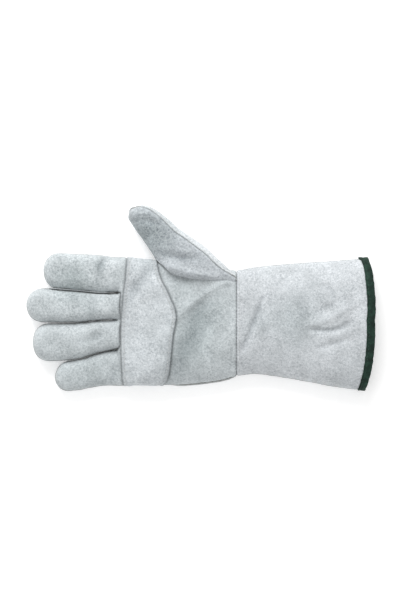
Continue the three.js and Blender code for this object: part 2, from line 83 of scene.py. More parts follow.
# the five lines that bound the fingers, across the hand, at shares of the middle finger's length
fingerLines = dict(
    along=[-0.3, 0.0, 0.22, 0.43, 0.64, 0.8, 1.02],
    outer=[40.8, 41.7, 44.1, 45.0, 45.9, 46.0, 46.0],
    first=[5.9, 6.0, 6.0, 7.8, 9.4, 10.6, 12.0],
    second=[-21.0, -21.0, -21.8, -23.7, -24.2, -24.1, -23.6],
    third=[-50.5, -50.6, -54.2, -60.3, -62.4, -62.6, -62.2],
    last=[-86.9, -86.5, -88.0, -91.9, -93.6, -94.5, -95.1],
)
fingers = dict(
    length=94.5,
    slit=0.8,
    square=2.9,
    inset=0.8,  # room for the lip of the side seam
    each=[
        dict(name="index", sides=("outer", "first"), long=75.6, high=22.6, tip=16.0, blunt=2.9),
        dict(name="middle", sides=("first", "second"), long=93.4, high=24.2, tip=18.8, blunt=2.5),
        dict(name="ring", sides=("second", "third"), long=86.8, high=23.4, tip=17.9, blunt=2.7),
        dict(name="little", sides=("third", "last"), long=64.6, high=19.6, tip=16.0, blunt=2.6),
    ],
)

thumb = dict(
    length=118.5,
    width=46.0,
    thickness=26.0,
    height=16.0,
    angle=133.0,  # degrees from the cuff's direction
    roll=23.0,
    seamRoll=26.0,
    square=2.15,
    base=(114.7, 23.9),
    sunk=1.3,  # how far its panels reach into the hand
    along=[-0.04, 0.03, 0.12, 0.2, 0.29, 0.38, 0.5, 0.63, 0.75, 0.84, 0.91, 0.96, 0.99],
    inner=[-0.17, -0.33, -0.55, -0.74, -0.92, -1.05, -1.04, -0.98, -0.94, -0.91, -0.875, -0.85, -0.81],
    outer=[0.0, 0.0, -0.015, -0.035, -0.05, -0.075, -0.14, -0.21, -0.235, -0.28, -0.36, -0.45, -0.54],
    rise=[1.15, 1.2, 1.28, 1.35, 1.38, 1.35, 1.25, 1.12, 1.05, 1.04, 1.04, 1.05, 1.05],
    thick=[0.5, 0.6, 0.72, 0.82, 0.92, 1.0, 1.0, 0.96, 0.9, 0.82, 0.72, 0.58, 0.38],
    rolled=[0.0, 0.0, 0.0, 0.0, 0.05, 0.2, 0.5, 0.85, 1.0, 1.0, 1.0, 1.0, 1.0],
    seamRolled=[1.9, 1.9, 1.7, 1.3, 1.0, 0.95, 0.95, 0.95, 0.88, 0.82, 0.8, 0.8, 0.8],
)

wristX = hand["length"]
hemX = wristX + cuff["length"]

# Folds of the palm side: points in plan, half width and depth. A negative depth is a ridge.
folds = [
    dict(name="index joint", path=[(-12, 42), (-17, 38), (-20, 30), (-22, 14)], width=4.5, depth=1.5),
    dict(name="index crease", path=[(-13, 41), (-17.5, 37), (-19.5, 32), (-21, 26)], width=1.6, depth=1.4),
    dict(name="middle joint", path=[(-26, 4), (-28, -20)], width=4.5, depth=1.2),
    dict(name="ring dent", path=[(-36, -42), (-25, -38), (-14, -34)], width=4.5, depth=1.6),
    dict(name="little joint", path=[(-6, -66), (-7, -84)], width=3.5, depth=1.4),
    dict(name="patch dent", path=[(8, -3), (18, 14), (33, 31)], width=6.5, depth=2.4),
    dict(name="patch ridge", path=[(19, -3), (30, 9), (42, 20)], width=6.5, depth=-1.2),
    dict(name="palm ridge", path=[(54, -22), (63, -12), (74, -3), (86, 6), (98, 13), (112, 18)], width=2.8, depth=-1.5),
    dict(name="palm fall", path=[(66, -20), (80, -8), (96, 3)], width=6.0, depth=1.2),
    dict(name="palm valley", path=[(84, -12), (72, -36), (64, -51), (60, -66), (53, -81)], width=10.5, depth=2.5),
    dict(name="palm heel crease", path=[(96, -14), (84, -34), (78, -52)], width=4.0, depth=0.9),
    dict(name="palm heel", path=[(90, -52), (106, -32)], width=14.0, depth=-1.6),
    dict(name="thumb join", path=[(76, 20), (92, 19), (112, 17)], width=4.0, depth=-1.6),
    dict(name="thumb hollow", path=[(42, 22), (54, 19), (68, 18)], width=5.0, depth=1.6),
    dict(name="wrist crease", path=[(121, -54), (128, -38), (136, -18), (143, 2)], width=2.8, depth=2.2),
    dict(name="wrist swell", path=[(130, -54), (141, -30), (152, -6)], width=6.5, depth=-1.2),
    dict(name="wrist dent", path=[(147, 14), (152, 2), (150, -12)], width=4.0, depth=0.9),
    dict(name="cuff ridge", path=[(184, -27), (199, -24), (212, -18), (226, -10), (238, -3)], width=3.8, depth=-1.7),
    dict(name="ridge fold", path=[(192, -14), (210, -7), (226, 3)], width=3.2, depth=0.9),
    dict(name="cuff valley", path=[(190, -30), (203, -31.5), (214, -31), (222, -28), (230, -23)], width=2.5, depth=2.1),
    dict(name="cuff swell", path=[(202, -40), (217, -37), (236, -30)], width=4.2, depth=-1.4),
    dict(name="low crease", path=[(194, -50), (210, -46), (226, -40)], width=2.8, depth=0.9),
    dict(name="low swell", path=[(204, -58), (222, -52)], width=6.0, depth=-0.8),
    dict(name="hem dent", path=[(199, 13), (206, 13), (212, 7), (214, -1)], width=2.8, depth=1.1),
    dict(name="cuff dent", path=[(176, 2), (186, -12), (182, -30)], width=5.0, depth=0.8),
    dict(name="cuff pucker", path=[(226, -87), (236, -86)], width=3.0, depth=0.9),
]


# Smooth values between the points of a table
def smooth(table, key, at):
    x = np.array(table["along"], float)
    y = np.array(table[key], float)
    at = np.clip(np.asarray(at, float), x[0], x[-1])
    lower = np.maximum(np.arange(len(x)) - 1, 0)
    upper = np.minimum(np.arange(len(x)) + 1, len(x) - 1)
    slope = (y[upper] - y[lower]) / (x[upper] - x[lower])
    i = np.clip(np.searchsorted(x, at, side="right") - 1, 0, len(x) - 2)
    span = x[i + 1] - x[i]
    t = (at - x[i]) / span
    bend = t * t * (3 - 2 * t)
    curve = slope[i] * span * t * (1 - t) ** 2 - slope[i + 1] * span * t * t * (1 - t)
    return y[i] * (1 - bend) + y[i + 1] * bend + curve


def signedPower(value, power):
    return np.sign(value) * np.abs(value) ** power


def ease(value, low, high):
    t = np.clip((value - low) / (high - low), 0, 1)
    return t * t * (3 - 2 * t)


def unit(rows):
    return rows / np.maximum(np.linalg.norm(rows, axis=1, keepdims=True), 1e-9)


def lengthsAlong(line):
    return np.concatenate([[0], np.cumsum(np.linalg.norm(np.diff(line, axis=0), axis=1))])


def pointsAt(at, along, line):
    return np.stack([np.interp(at, along, line[:, i]) for i in range(3)], 1)


# 1 at value 0, falling off on both sides
def bell(value, width):
    return np.exp(-((value / width) ** 2))


# A closed ring as evenly spaced points
def evenRing(ring, count):
    loop = np.vstack([ring, ring[:1]])
    along = lengthsAlong(loop)
    return pointsAt(np.linspace(0, along[-1], count + 1)[:-1], along, loop)


# Lumpy noise from -1 to 1, with lumps about size wide
def noise(points, size, seed):
    p = np.asarray(points, float) / size + seed * 17.31
    cell = np.floor(p).astype(np.int64)
    f = p - cell
    f = f * f * (3 - 2 * f)
    total = np.zeros(len(p))
    for dx in (0, 1):
        for dy in (0, 1):
            for dz in (0, 1):
                c = cell + (dx, dy, dz)
                scrambled = (c[:, 0] * 73856093) ^ (c[:, 1] * 19349663) ^ (c[:, 2] * 83492791) ^ (seed * 2654435)
                scrambled = (scrambled ^ (scrambled >> 13)) * 1274126177 & 0x7FFFFFFF
                value = ((scrambled ^ (scrambled >> 16)) & 0xFFFF) / 32767.5 - 1
                wx = f[:, 0] if dx else 1 - f[:, 0]
                wy = f[:, 1] if dy else 1 - f[:, 1]
                wz = f[:, 2] if dz else 1 - f[:, 2]
                total += value * wx * wy * wz
    return total


# The same noise along a line, for gathers beside a seam
def lineNoise(place, size, seed, row=0):
    return noise(np.stack([place, 0 * place, 0 * place + row], 1), size, seed)


# Distance in plan from each point to a line of points, and how far along the line it lies
def alongPath(points, path):
    path = np.array(path, float)
    best = np.full(len(points), 1e9)
    place = np.zeros(len(points))
    travelled = 0.0
    for a, b in zip(path[:-1], path[1:]):
        line = b - a
        length = math.hypot(*line)
        t = np.clip(((points[:, :2] - a) @ line) / length**2, 0, 1)
        away = np.hypot(*(points[:, :2] - a - t[:, None] * line).T)
        nearer = away < best
        best = np.where(nearer, away, best)
        place = np.where(nearer, travelled + t * length, place)
        travelled += length
    return best, place, travelled


# Signed distance in plan to a closed outline, positive inside
def insideOutline(points, outline):
    outline = np.array(outline, float)
    away, _, _ = alongPath(points, np.vstack([outline, outline[:1]]))
    inside = np.zeros(len(points), bool)
    x, y = points[:, 0], points[:, 1]
    for (x0, y0), (x1, y1) in zip(outline, np.roll(outline, -1, 0)):
        crosses = (y0 > y) != (y1 > y)
        inside ^= crosses & (x < (x1 - x0) * (y - y0) / (y1 - y0 + 1e-12) + x0)
    return np.where(inside, away, -away)


# A row of points through a few, evenly spaced and smooth
def smoothPath(points, step):
    points = np.array(points, float)
    along = lengthsAlong(points)
    table = dict(along=along)
    for i in range(points.shape[1]):
        table[i] = points[:, i]
    at = np.linspace(0, along[-1], max(2, int(round(along[-1] / step)) + 1))
    return np.stack([smooth(table, i, at) for i in range(points.shape[1])], 1)


# Height of the side seam over the floor
def seamHeight(x):
    beyond = np.where(x < wristX, x / wristX, 1 + (x - wristX) / cuff["length"])
    share = np.where(x < 0, x / fingers["length"], beyond)
    return smooth(seam, "height", share)


# One cross-section: round above the side seam, pressed flat on the floor below it, evenly spaced points
def crossSection(x, count, square, middle, halfWidth, top, side, floor, bow):
    turn = np.linspace(0, 2 * math.pi, 721)[:-1]
    power = 2 / np.where(np.sin(turn) >= 0, square, glove["underSquare"])
    across = signedPower(np.cos(turn), power)
    up = signedPower(np.sin(turn), power)
    rise = np.where(up >= 0, (top - side) * up, (side - floor + glove["pressed"]) * up)
    z = np.maximum(side + rise, floor)
    y = middle + halfWidth * across
    return evenRing(np.stack([x - bow(across), y, z], 1), count)


# How far the cuff's underside has risen towards its hem
def cuffLift(x):
    return cuff["lift"] * np.clip((x - wristX) / (cuff["length"] - cuff["taped"]), 0, 1)


# A cross-section of the palm or the cuff; web below 1 closes it towards the finger roots
def sleeveSection(x, count, web=1.0):
    inHand = x <= wristX
    table = hand if inHand else cuff
    along = x / wristX if inHand else (x - wristX) / cuff["length"]
    thick = float(smooth(table, "thickened", along))
    if inHand:
        width = hand["width"] + (hand["wristWidth"] - hand["width"]) * float(smooth(hand, "narrowed", along))
        bulk = hand["palmThickness"] - hand["knuckleThickness"]
        drop = hand["wristThickness"] - hand["knuckleThickness"] - bulk * hand["thickened"][-1]
        top = hand["knuckleThickness"] + bulk * thick + drop * max(along, 0)
    else:
        width = hand["wristWidth"] + (cuff["hemWidth"] - hand["wristWidth"]) * float(smooth(cuff, "flared", along))
        top = hand["wristThickness"] + (cuff["hemThickness"] - hand["wristThickness"]) * thick
    share = 0.0 if inHand else min(along, 1.0)
    lift = cuffLift(x)
    side = float(seamHeight(x))
    return crossSection(
        x,
        count,
        float(smooth(table, "square", along)),
        float(smooth(table, "middle", along)),
        width / 2,
        side + (top - side) * web,
        side,
        lift + (side - lift) * (1 - web),
        lambda across: share * (cuff["arc"] * np.abs(across) ** 3 - cuff["tilt"] * across),
    )


def fingerSection(finger, x, count):
    away = -x
    share = away / fingers["length"]
    high = float(smooth(fingerLines, finger["sides"][0], share))
    low = float(smooth(fingerLines, finger["sides"][1], share))
    beyond = min(max(0.0, away - (finger["long"] - finger["tip"])) / finger["tip"], 1.0)
    rounded = math.sqrt(max(0.0, 1 - beyond ** finger["blunt"]))
    inset = fingers["inset"] * min(1.0, max(0.0, away / 10))
    side = float(seamHeight(x))
    return crossSection(
        x,
        count,
        fingers["square"],
        (high + low) / 2,
        max((high - low) / 2 * rounded - fingers["slit"] / 2 - inset, 0.3),
        side + (finger["high"] - side) * math.sqrt(rounded),
        side,
        0.4 * side * (1 - rounded) + 0.6 * max(0.0, x),  # its root rises into the hand
        lambda across: 0 * across,
    )


# The thumb's own frame: its line from the wrist corner, and the direction across it
thumbTurn = math.radians(thumb["angle"])
thumbLine = np.array([math.cos(thumbTurn), math.sin(thumbTurn)])
thumbAcross = np.array([math.sin(thumbTurn), -math.cos(thumbTurn)])


def thumbSection(share):
    inner, outer, rise, thick, rolled = (
        float(smooth(thumb, key, share)) for key in ("inner", "outer", "rise", "thick", "rolled")
    )
    roll = math.radians(thumb["roll"] * rolled)
    return dict(
        middle=thumb["width"] * (inner + outer) / 2,
        halfWidth=thumb["width"] * (outer - inner) / 2,
        height=thumb["height"] * rise,
        halfThick=thumb["thickness"] * thick / 2,
        slope=math.tan(roll),
    )


def thumbPoints(share, across, z):
    plan = np.array(thumb["base"]) + share * thumb["length"] * thumbLine + np.outer(across, thumbAcross)
    return np.column_stack([plan, z])


# Meshes are arrays of points, triangles and values carried by each point. Here rings become a tube.
def loft(sections):
    count = len(sections[0])
    points = np.vstack(sections)
    faces = []
    k = np.arange(count)
    n = (k + 1) % count
    for i in range(len(sections) - 1):
        a, b = i * count, (i + 1) * count
        faces.append(np.stack([a + k, a + n, b + n], 1))
        faces.append(np.stack([a + k, b + n, b + k], 1))
    return points, np.vstack(faces)


# Closes both ends of a tube and turns its faces outwards
def capped(points, faces, count):
    k = np.arange(count)
    n = (k + 1) % count
    for start, a, b in ((0, n, k), (len(points) - count, k, n)):
        centre = np.full(count, len(points))
        points = np.vstack([points, points[start : start + count].mean(0)])
        faces = np.vstack([faces, np.stack([centre, start + a, start + b], 1)])
    volume = np.einsum("ij,ij->i", points[faces[:, 0]], np.cross(points[faces[:, 1]], points[faces[:, 2]])).sum()
    return points, faces if volume > 0 else faces[:, ::-1]


def normalsOf(points, faces):
    flat = np.cross(points[faces[:, 1]] - points[faces[:, 0]], points[faces[:, 2]] - points[faces[:, 0]])
    total = np.zeros_like(points)
    for i in range(3):
        np.add.at(total, faces[:, i], flat)
    return unit(total)


# Evens out a mesh where weight is above 0
def relax(points, faces, weight, rounds):
    edges = np.unique(np.sort(np.vstack([faces[:, [0, 1]], faces[:, [1, 2]], faces[:, [2, 0]]]), 1), axis=0)
    count = np.bincount(edges.ravel(), minlength=len(points)).astype(float)
    for _ in range(rounds):
        total = np.zeros_like(points)
        np.add.at(total, edges[:, 0], points[edges[:, 1]])
        np.add.at(total, edges[:, 1], points[edges[:, 0]])
        points = points + (total / np.maximum(count, 1)[:, None] - points) * weight[:, None]
    return points


# Cuts triangles along field = 0. Values carried by the points are mixed on the cut.
def cutAlong(points, faces, values, field):
    field = np.where(np.abs(field) < 0.08, 0.0, field)
    sign = np.sign(field)
    crossing = (sign[faces].min(1) < 0) & (sign[faces].max(1) > 0)
    kept = [faces[~crossing]]
    newPoints, newValues, seen = [], [], {}

    def between(a, b):
        key = (min(a, b), max(a, b))
        if key not in seen:
            t = field[a] / (field[a] - field[b])
            seen[key] = len(points) + len(newPoints)
            newPoints.append(points[a] * (1 - t) + points[b] * t)
            newValues.append(values[a] * (1 - t) + values[b] * t)
        return seen[key]

    made = []
    for tri in faces[crossing]:
        s = sign[tri]
        zero = np.where(s == 0)[0]
        if len(zero):
            a, b, c = np.roll(tri, -zero[0])
            m = between(b, c)
            made += [(a, b, m), (a, m, c)]
            continue
        lone = int(np.where(s == (1 if (s > 0).sum() == 1 else -1))[0][0])
        a, b, c = np.roll(tri, -lone)
        ab, ac = between(a, b), between(a, c)
        made += [(a, ab, ac), (ab, b, c), (ab, c, ac)]
    if made:
        kept.append(np.array(made))
        points = np.vstack([points, newPoints])
        values = np.vstack([values, newValues])
    return points, np.vstack(kept), values


def toRow(points):
    shifted = np.array(points, float)
    shifted[:, 0] += glove["origin"][0]
    shifted[:, 1] += glove["origin"][1]
    return shifted / 1000


def makeObject(name, points, faces, weights=None):
    mesh = bpy.data.meshes.new(name)
    mesh.from_pydata(toRow(points).tolist(), [], [list(map(int, f)) for f in faces])
    mesh.shade_smooth()
    for key, value in (weights or {}).items():
        mesh.attributes.new(key, "FLOAT", "POINT").data.foreach_set("value", np.asarray(value, np.float32))
    made = bpy.data.objects.new(name, mesh)
    bpy.context.scene.collection.objects.link(made)
    return made


def arraysOf(mesh):
    points = np.empty(len(mesh.vertices) * 3)
    mesh.vertices.foreach_get("co", points)
    mesh.calc_loop_triangles()
    faces = np.empty(len(mesh.loop_triangles) * 3, np.int32)
    mesh.loop_triangles.foreach_get("vertices", faces)
    return points.reshape(-1, 3), faces.reshape(-1, 3)


def surfaceTree(points, faces):
    return BVHTree.FromPolygons([Vector(p) for p in points], [tuple(map(int, f)) for f in faces])


# How far each point lies outside a closed surface, negative inside
def heightOver(points, tree):
    result = np.empty(len(points))
    for i, p in enumerate(points):
        near, normal, _, away = tree.find_nearest(Vector(p))
        result[i] = away if (Vector(p) - near).dot(normal) > 0 else -away
    return result


# The part of a mesh whose faces pass, with its unused points dropped
def part(points, faces, values, keep):
    faces = faces[keep]
    used = np.unique(faces)
    index = np.full(len(points), -1)
    index[used] = np.arange(len(used))
    return points[used], index[faces], values[used]


# The hand with its fingers, joined into one closed form
def joinedHand():
    step = glove["spacing"]
    count = 250
    webbed = -hand["web"] * np.cos(np.linspace(0.12, math.pi / 2, 5))[:-1]
    sections = []
    for x in np.concatenate([webbed, np.arange(0, wristX + 2 * step, step)]):
        web = max(math.sqrt(max(0.0, 1 - min(x / hand["web"], 0) ** 2)), 0.05)
        sections.append(sleeveSection(min(float(x), wristX), count, web) + (max(x - wristX, 0), 0, 0))
    pieces = [makeObject("handForm", *capped(*loft(sections), count))]
    for finger in fingers["each"]:
        around = 86
        straight = finger["long"] - finger["tip"]
        shaft = np.arange(-5.0, straight, step)
        angles = np.linspace(0, math.pi / 2, 16)[:-1]
        tip = straight + finger["tip"] * np.sin(angles)
        sections = [fingerSection(finger, -float(x), around) for x in np.concatenate([shaft, tip])]
        pieces.append(makeObject(finger["name"], *capped(*loft(sections), around)))
    whole = pieces[0]
    for other in pieces[1:]:
        join = whole.modifiers.new("join", "BOOLEAN")
        join.operation = "UNION"
        join.solver = "MANIFOLD"
        join.object = other
    evaluated = whole.evaluated_get(bpy.context.evaluated_depsgraph_get())
    mesh = bpy.data.meshes.new_from_object(evaluated)
    points, faces = arraysOf(mesh)
    points = points * 1000 - (glove["origin"][0], glove["origin"][1], 0)
    for piece in pieces:
        bpy.data.objects.remove(piece)
    weight = 0.5 * bell(points[:, 0] + 1, 6)
    weight *= points[:, 2] > 0.2
    return relax(points, faces, weight, 10), faces


handPoints, handFaces = joinedHand()
print("hand joined:", len(handPoints), "points")

# The leather's surface
surface = dict(
    lump=0.4,  # slow unevenness of the hide and how wide it is
    lumpSize=17.0,
    ripple=0.2,
    rippleSize=6.0,
    grooveDepth=1.3,  # how far a sewn edge turns in
    grooveWidth=1.0,
    shoulder=0.4,  # how far the leather swells beside a seam
    pucker=0.4,  # how much the seam gathers it, and how often
    puckerPitch=3.6,
    lip=0.9,  # how far the back's edge shows beyond the front's
    wrap=1.3,  # share by which it shows more before the wrist
)


# One seam as the leather sees it: the distance to it, the place along it and how strongly it shows
def seamLine(away, place, depth=1.0, width=1.0, gather=1.0, dashed=0.0):
    return dict(away=away, place=place, depth=depth, width=width, gather=gather, dashed=dashed)


def foldDepth(points, table):
    total = np.zeros(len(points))
    for fold in table:
        away, place, length = alongPath(points, fold["path"])
        t = np.clip(place / length, 0.02, 0.98)
        wander = 1 + 0.25 * noise(points, 9, 7)
        total += fold["depth"] * (4 * t * (1 - t)) ** 0.35 * bell(away, fold["width"] * wander)
    return total


# Moves the points of a smooth form to where the worn leather lies
def worn(points, normals, seams, lower, seed=1, floor=0.0):
    # the back's edge wraps round the palm's lower side before the wrist
    x, y = points[:, 0], points[:, 1]
    wrapped = 1 + surface["wrap"] * ease(x, 48, 66) * (1 - ease(x, 108, 116)) * (y < -40)
    push = surface["lump"] * noise(points, surface["lumpSize"], seed)
    push += surface["ripple"] * noise(points, surface["rippleSize"], seed + 1)
    groove = np.zeros(len(points))
    for each in seams:
        away, place = each["away"], each["place"]
        gathers = lineNoise(place, surface["puckerPitch"] / 2, seed + 2, 5)
        gathers = gathers * bell(away, 5) * (1 - bell(away, 1))
        dip = bell(away / surface["grooveWidth"], each["width"])
        push += surface["pucker"] * each["gather"] * gathers
        push += surface["shoulder"] * each["gather"] * bell(away - 3.0, 1.6)
        push -= surface["grooveDepth"] * each["depth"] * dip * np.where(np.less(each["depth"], 0), wrapped, 1)
        # painted shade and dirt along the seam, in dashes where stitches show
        dark = np.clip(each["depth"], 0, 1) * bell(away, each["width"])
        groove = np.maximum(groove, dark * (1 - each["dashed"] * (0.5 + 0.5 * np.cos(2 * math.pi * place / 3.4))))
    upward = ease(normals[:, 2], 0.02, 0.7)
    moved = points + normals * push[:, None]
    moved[:, 2] -= lower * upward
    moved[:, 2] = np.maximum(moved[:, 2], floor)
    rough = 0.72 + 0.3 * noise(points, 11, 6) + spread(points, wornPlaces)
    # painted shade in the fold dents on upward faces
    hollow = np.clip(lower / 4, -1, 1) * upward
    # grime and painted shade, greyer in the listed places
    grey = np.clip(0.12 * noise(points, 24, 9) + spread(points, grimeAndShadePlaces), 0, 1)
    grey = grey * ease(normals[:, 2], -0.3, 0.4)
    return moved, dict(groove=groove, hollow=hollow, coarse=np.clip(rough, 0.1, 1), grey=grey)


# Where the nap is worn into coarse tufts: the index finger's underside, the little finger and the thumb
wornPlaces = [
    dict(x=-50, y=22, size=24, amount=0.8),
    dict(x=-10, y=30, size=12, amount=0.2),
    dict(x=-40, y=-83, size=18, amount=0.25),
    dict(x=-5, y=-80, size=8, amount=0.3),
    dict(x=40, y=60, size=26, amount=0.5),
    dict(x=35, y=-62, size=16, amount=0.15),
]

# Where the hide is painted greyer, partly grime from handling and partly painted shade where the surface turns from the
# light: the hollow of the palm, the thumb's front, the index finger's lower side, below the joints, by the wrist and on
# the cuff
grimeAndShadePlaces = [
    dict(x=70, y=-45, size=24, amount=0.7),
    dict(x=85, y=-15, size=20, amount=0.5),
    dict(x=60, y=12, size=14, amount=0.3),
    dict(x=-20, y=34, size=7, amount=0.5),
    dict(x=-48, y=17, size=20, amount=0.75),
    dict(x=-30, y=-12, size=8, amount=0.3),
    dict(x=30, y=60, size=22, amount=0.95),
    dict(x=22, y=72, size=18, amount=0.4),
    dict(x=-30, y=-78, size=26, amount=0.35),
    dict(x=135, y=-25, size=14, amount=0.35),
    dict(x=175, y=-20, size=28, amount=0.65),
]


def spread(points, places):
    total = np.zeros(len(points))
    for place in places:
        away = (points[:, 0] - place["x"]) ** 2 + (points[:, 1] - place["y"]) ** 2
        total += place["amount"] * np.exp(-away / place["size"] ** 2)
    return total


# Cuts the panel out of a form where all fields are positive
def panelOf(points, faces, values, fields):
    for field in fields:
        points, faces, values = cutAlong(points, faces, values, field(points))
        keep = field(points)[faces].mean(1) > 0
        points, faces, values = part(points, faces, values, keep)
    return points, faces, values


def outlineOfTwoFingers():
    share = np.linspace(0, 1.3, 40)
    high = np.stack([-share * fingers["length"], smooth(fingerLines, "first", share)], 1)
    low = np.stack([-share * fingers["length"], smooth(fingerLines, "third", share)], 1)
    corner = [(-5 + 5 * math.sin(a), low[0, 1] + 5 - 5 * math.cos(a)) for a in np.linspace(0, math.pi / 2, 8)]
    return np.vstack([low[:0:-1], corner, high])


patch = dict(
    thickness=1.5,
    gap=0.25,
    thinned=0.55,  # share of the thickness pared off at the edges
    inset=3.0,  # of the stitches from the edges
    furrow=0.5,  # how deep the stitches draw it in
    swell=0.3,  # how far it bulges inside them
    gather=0.35,
    curl=0.9,  # how far the palm-side edge stands off
    left=[
        (7, 44), (7, 40), (6.2, 29), (5.5, 19), (4, 9), (3, -1), (2.2, -12),
        (1.5, -22), (1.2, -36), (1.5, -56), (2, -71), (2.4, -81), (4, -88),
    ],
    right=[
        (36, 44), (37.5, 33), (40, 23), (43, 16), (47, 9), (51, -0.5), (54, -6.5), (56, -14.5), (56.5, -19.5),
        (55.5, -26), (53.5, -36), (52.5, -46), (51.5, -56), (50.5, -66), (49, -76), (46, -83), (40, -88),
    ],
)


# Distance to a line in plan and the place along it
def seamPair(points, path):
    away, place, _ = alongPath(points, path)
    return away, place


fingerOutline = outlineOfTwoFingers()


# Fields that bound the panels: above the side seam, inside the two middle fingers, before the wrist
def sideField(points):
    return points[:, 2] - seamHeight(points[:, 0])


def gunnField(points):
    return insideOutline(points, fingerOutline)


def wristField(points):
    return wristX - points[:, 0]


wristSeam = dict(depth=0.8, width=0.8, gather=0.6, dashed=0.75)


def handSeams(points, depth):
    side = np.abs(sideField(points))
    away, place = seamPair(points, fingerOutline)
    above = ease(sideField(points), 0, 2)
    return [
        seamLine(side, points[:, 0] + 0.8 * points[:, 1], depth),
        seamLine(np.abs(wristField(points)), points[:, 1], **wristSeam),
        seamLine(away + 30 * (1 - above), place, width=0.9, gather=0.6),
    ]


handNormals = normalsOf(handPoints, handFaces)
handBase = surfaceTree(handPoints, handFaces)


def handPanel(fields, depth=1.0, seed=1):
    points, faces, values = panelOf(handPoints, handFaces, handNormals, fields)
    normals = unit(values)
    moved, weights = worn(points, normals, handSeams(points, depth), foldDepth(points, folds), seed)
    edge = np.minimum(seamPair(points, patch["left"])[0], seamPair(points, patch["right"])[0])
    # painted shade and dirt on the palm beside the patch's edges
    weights["groove"] = np.maximum(weights["groove"], 0.9 * bell(edge, 1.5) * (sideField(points) > 0))
    return dict(points=moved, faces=faces, normals=normals, weights=weights)


# Gives a surface its thickness, with other materials inside and on the cut edge
def wall(obj, thickness):
    solid = obj.modifiers.new("leather", "SOLIDIFY")
    solid.thickness = thickness / 1000
    solid.offset = -1
    solid.use_rim = True
    solid.material_offset = 1
    solid.material_offset_rim = 2
    return obj


def panelObject(name, base):
    return wall(makeObject(name, base["points"], base["faces"], base["weights"]), glove["leather"])


backBase = handPanel([wristField, lambda p: -sideField(p)], -surface["lip"] / surface["grooveDepth"])
palmBase = handPanel([wristField, sideField, lambda p: -gunnField(p)])
middleBase = handPanel([wristField, sideField, gunnField])
backPanel = panelObject("backLeather", backBase)
palmPanel = panelObject("palmLeather", palmBase)
middlePanel = panelObject("middleRingLeather", middleBase)
print("hand panels cut")


# The palm patch, lying on the palm with its edges sewn down
def makePatch():
    outline = np.vstack([smoothPath(patch["left"][::-1], 2), smoothPath(patch["right"], 2)])
    fields = [lambda p: sideField(p) - 0.5, lambda p: insideOutline(p, outline)]
    points, faces, values = panelOf(handPoints, handFaces, handNormals, fields)
    normals = unit(values)
    seams = [seamLine(np.abs(sideField(points)) + 1, points[:, 0], depth=0.6, gather=0.6)]
    moved, weights = worn(points, normals, seams, foldDepth(points, folds), 1)
    left, leftPlace = seamPair(points, smoothPath(patch["left"], 2))
    right, rightPlace = seamPair(points, smoothPath(patch["right"], 2))
    edge = np.minimum(left, right)
    stitched = np.abs(edge - patch["inset"])
    lift = patch["gap"] + patch["thickness"] * (1 - patch["thinned"] * bell(edge, 1.1))
    lift -= patch["furrow"] * bell(stitched, 1.1)
    lift += patch["swell"] * bell(edge - 6, 2.5)
    lift += patch["curl"] * bell(right, 2.2) * (lineNoise(rightPlace, 9, 5) * 0.6 + 0.4)
    for away, place, seed in ((left, leftPlace, 3), (right, rightPlace, 4)):
        lift += patch["gather"] * (lineNoise(place, 1.7, seed) * bell(away - 5, 4))
    moved = moved + normals * lift[:, None]
    # painted shade and dirt along the patch's edges and in its stitch dimples
    weights["groove"] = np.maximum(weights["groove"], bell(edge, 1.1))
    weights["groove"] = np.maximum(weights["groove"], 0.35 * bell(stitched, 0.8))
    made = wall(makeObject("palmPatchLeather", moved, faces, weights), patch["thickness"])
    return made, moved, faces


palmPatch, patchPoints, patchFaces = makePatch()
print("patch laid")

# Folds of the thumb, in the same plan
thumbFolds = [
    dict(name="tip dent", path=[(10, 77), (23, 79), (37, 76)], width=3.6, depth=1.5),
    dict(name="tip ridge", path=[(14, 85), (28, 84), (40, 79)], width=3.2, depth=-0.8),
    dict(name="side dent", path=[(22, 66), (32, 62)], width=5.0, depth=0.9),
    dict(name="joint valley", path=[(39, 45), (52, 42.5), (65, 40.5), (82, 40)], width=4.4, depth=2.4),
    dict(name="root swell", path=[(39, 33.5), (51, 30), (64, 25.5), (80, 23), (94, 21)], width=5.2, depth=-3.4),
]


def thumbPlace(points):
    rel = points[:, :2] - np.array(thumb["base"])
    return rel @ thumbLine / thumb["length"], rel @ thumbAcross


# Height above the thumb's own seam, and how far out on it
def thumbSeamFrame(points):
    share, across = thumbPlace(points)
    middle = thumb["width"] * (smooth(thumb, "inner", share) + smooth(thumb, "outer", share)) / 2
    height = thumb["height"] * smooth(thumb, "rise", share)
    rolled = thumb["roll"] * smooth(thumb, "rolled", share)
    turn = np.radians(rolled + thumb["seamRoll"] * smooth(thumb, "seamRolled", share))
    dy, dz = across - middle, points[:, 2] - height
    return dz * np.cos(turn) - dy * np.sin(turn), dy * np.cos(turn) + dz * np.sin(turn), share


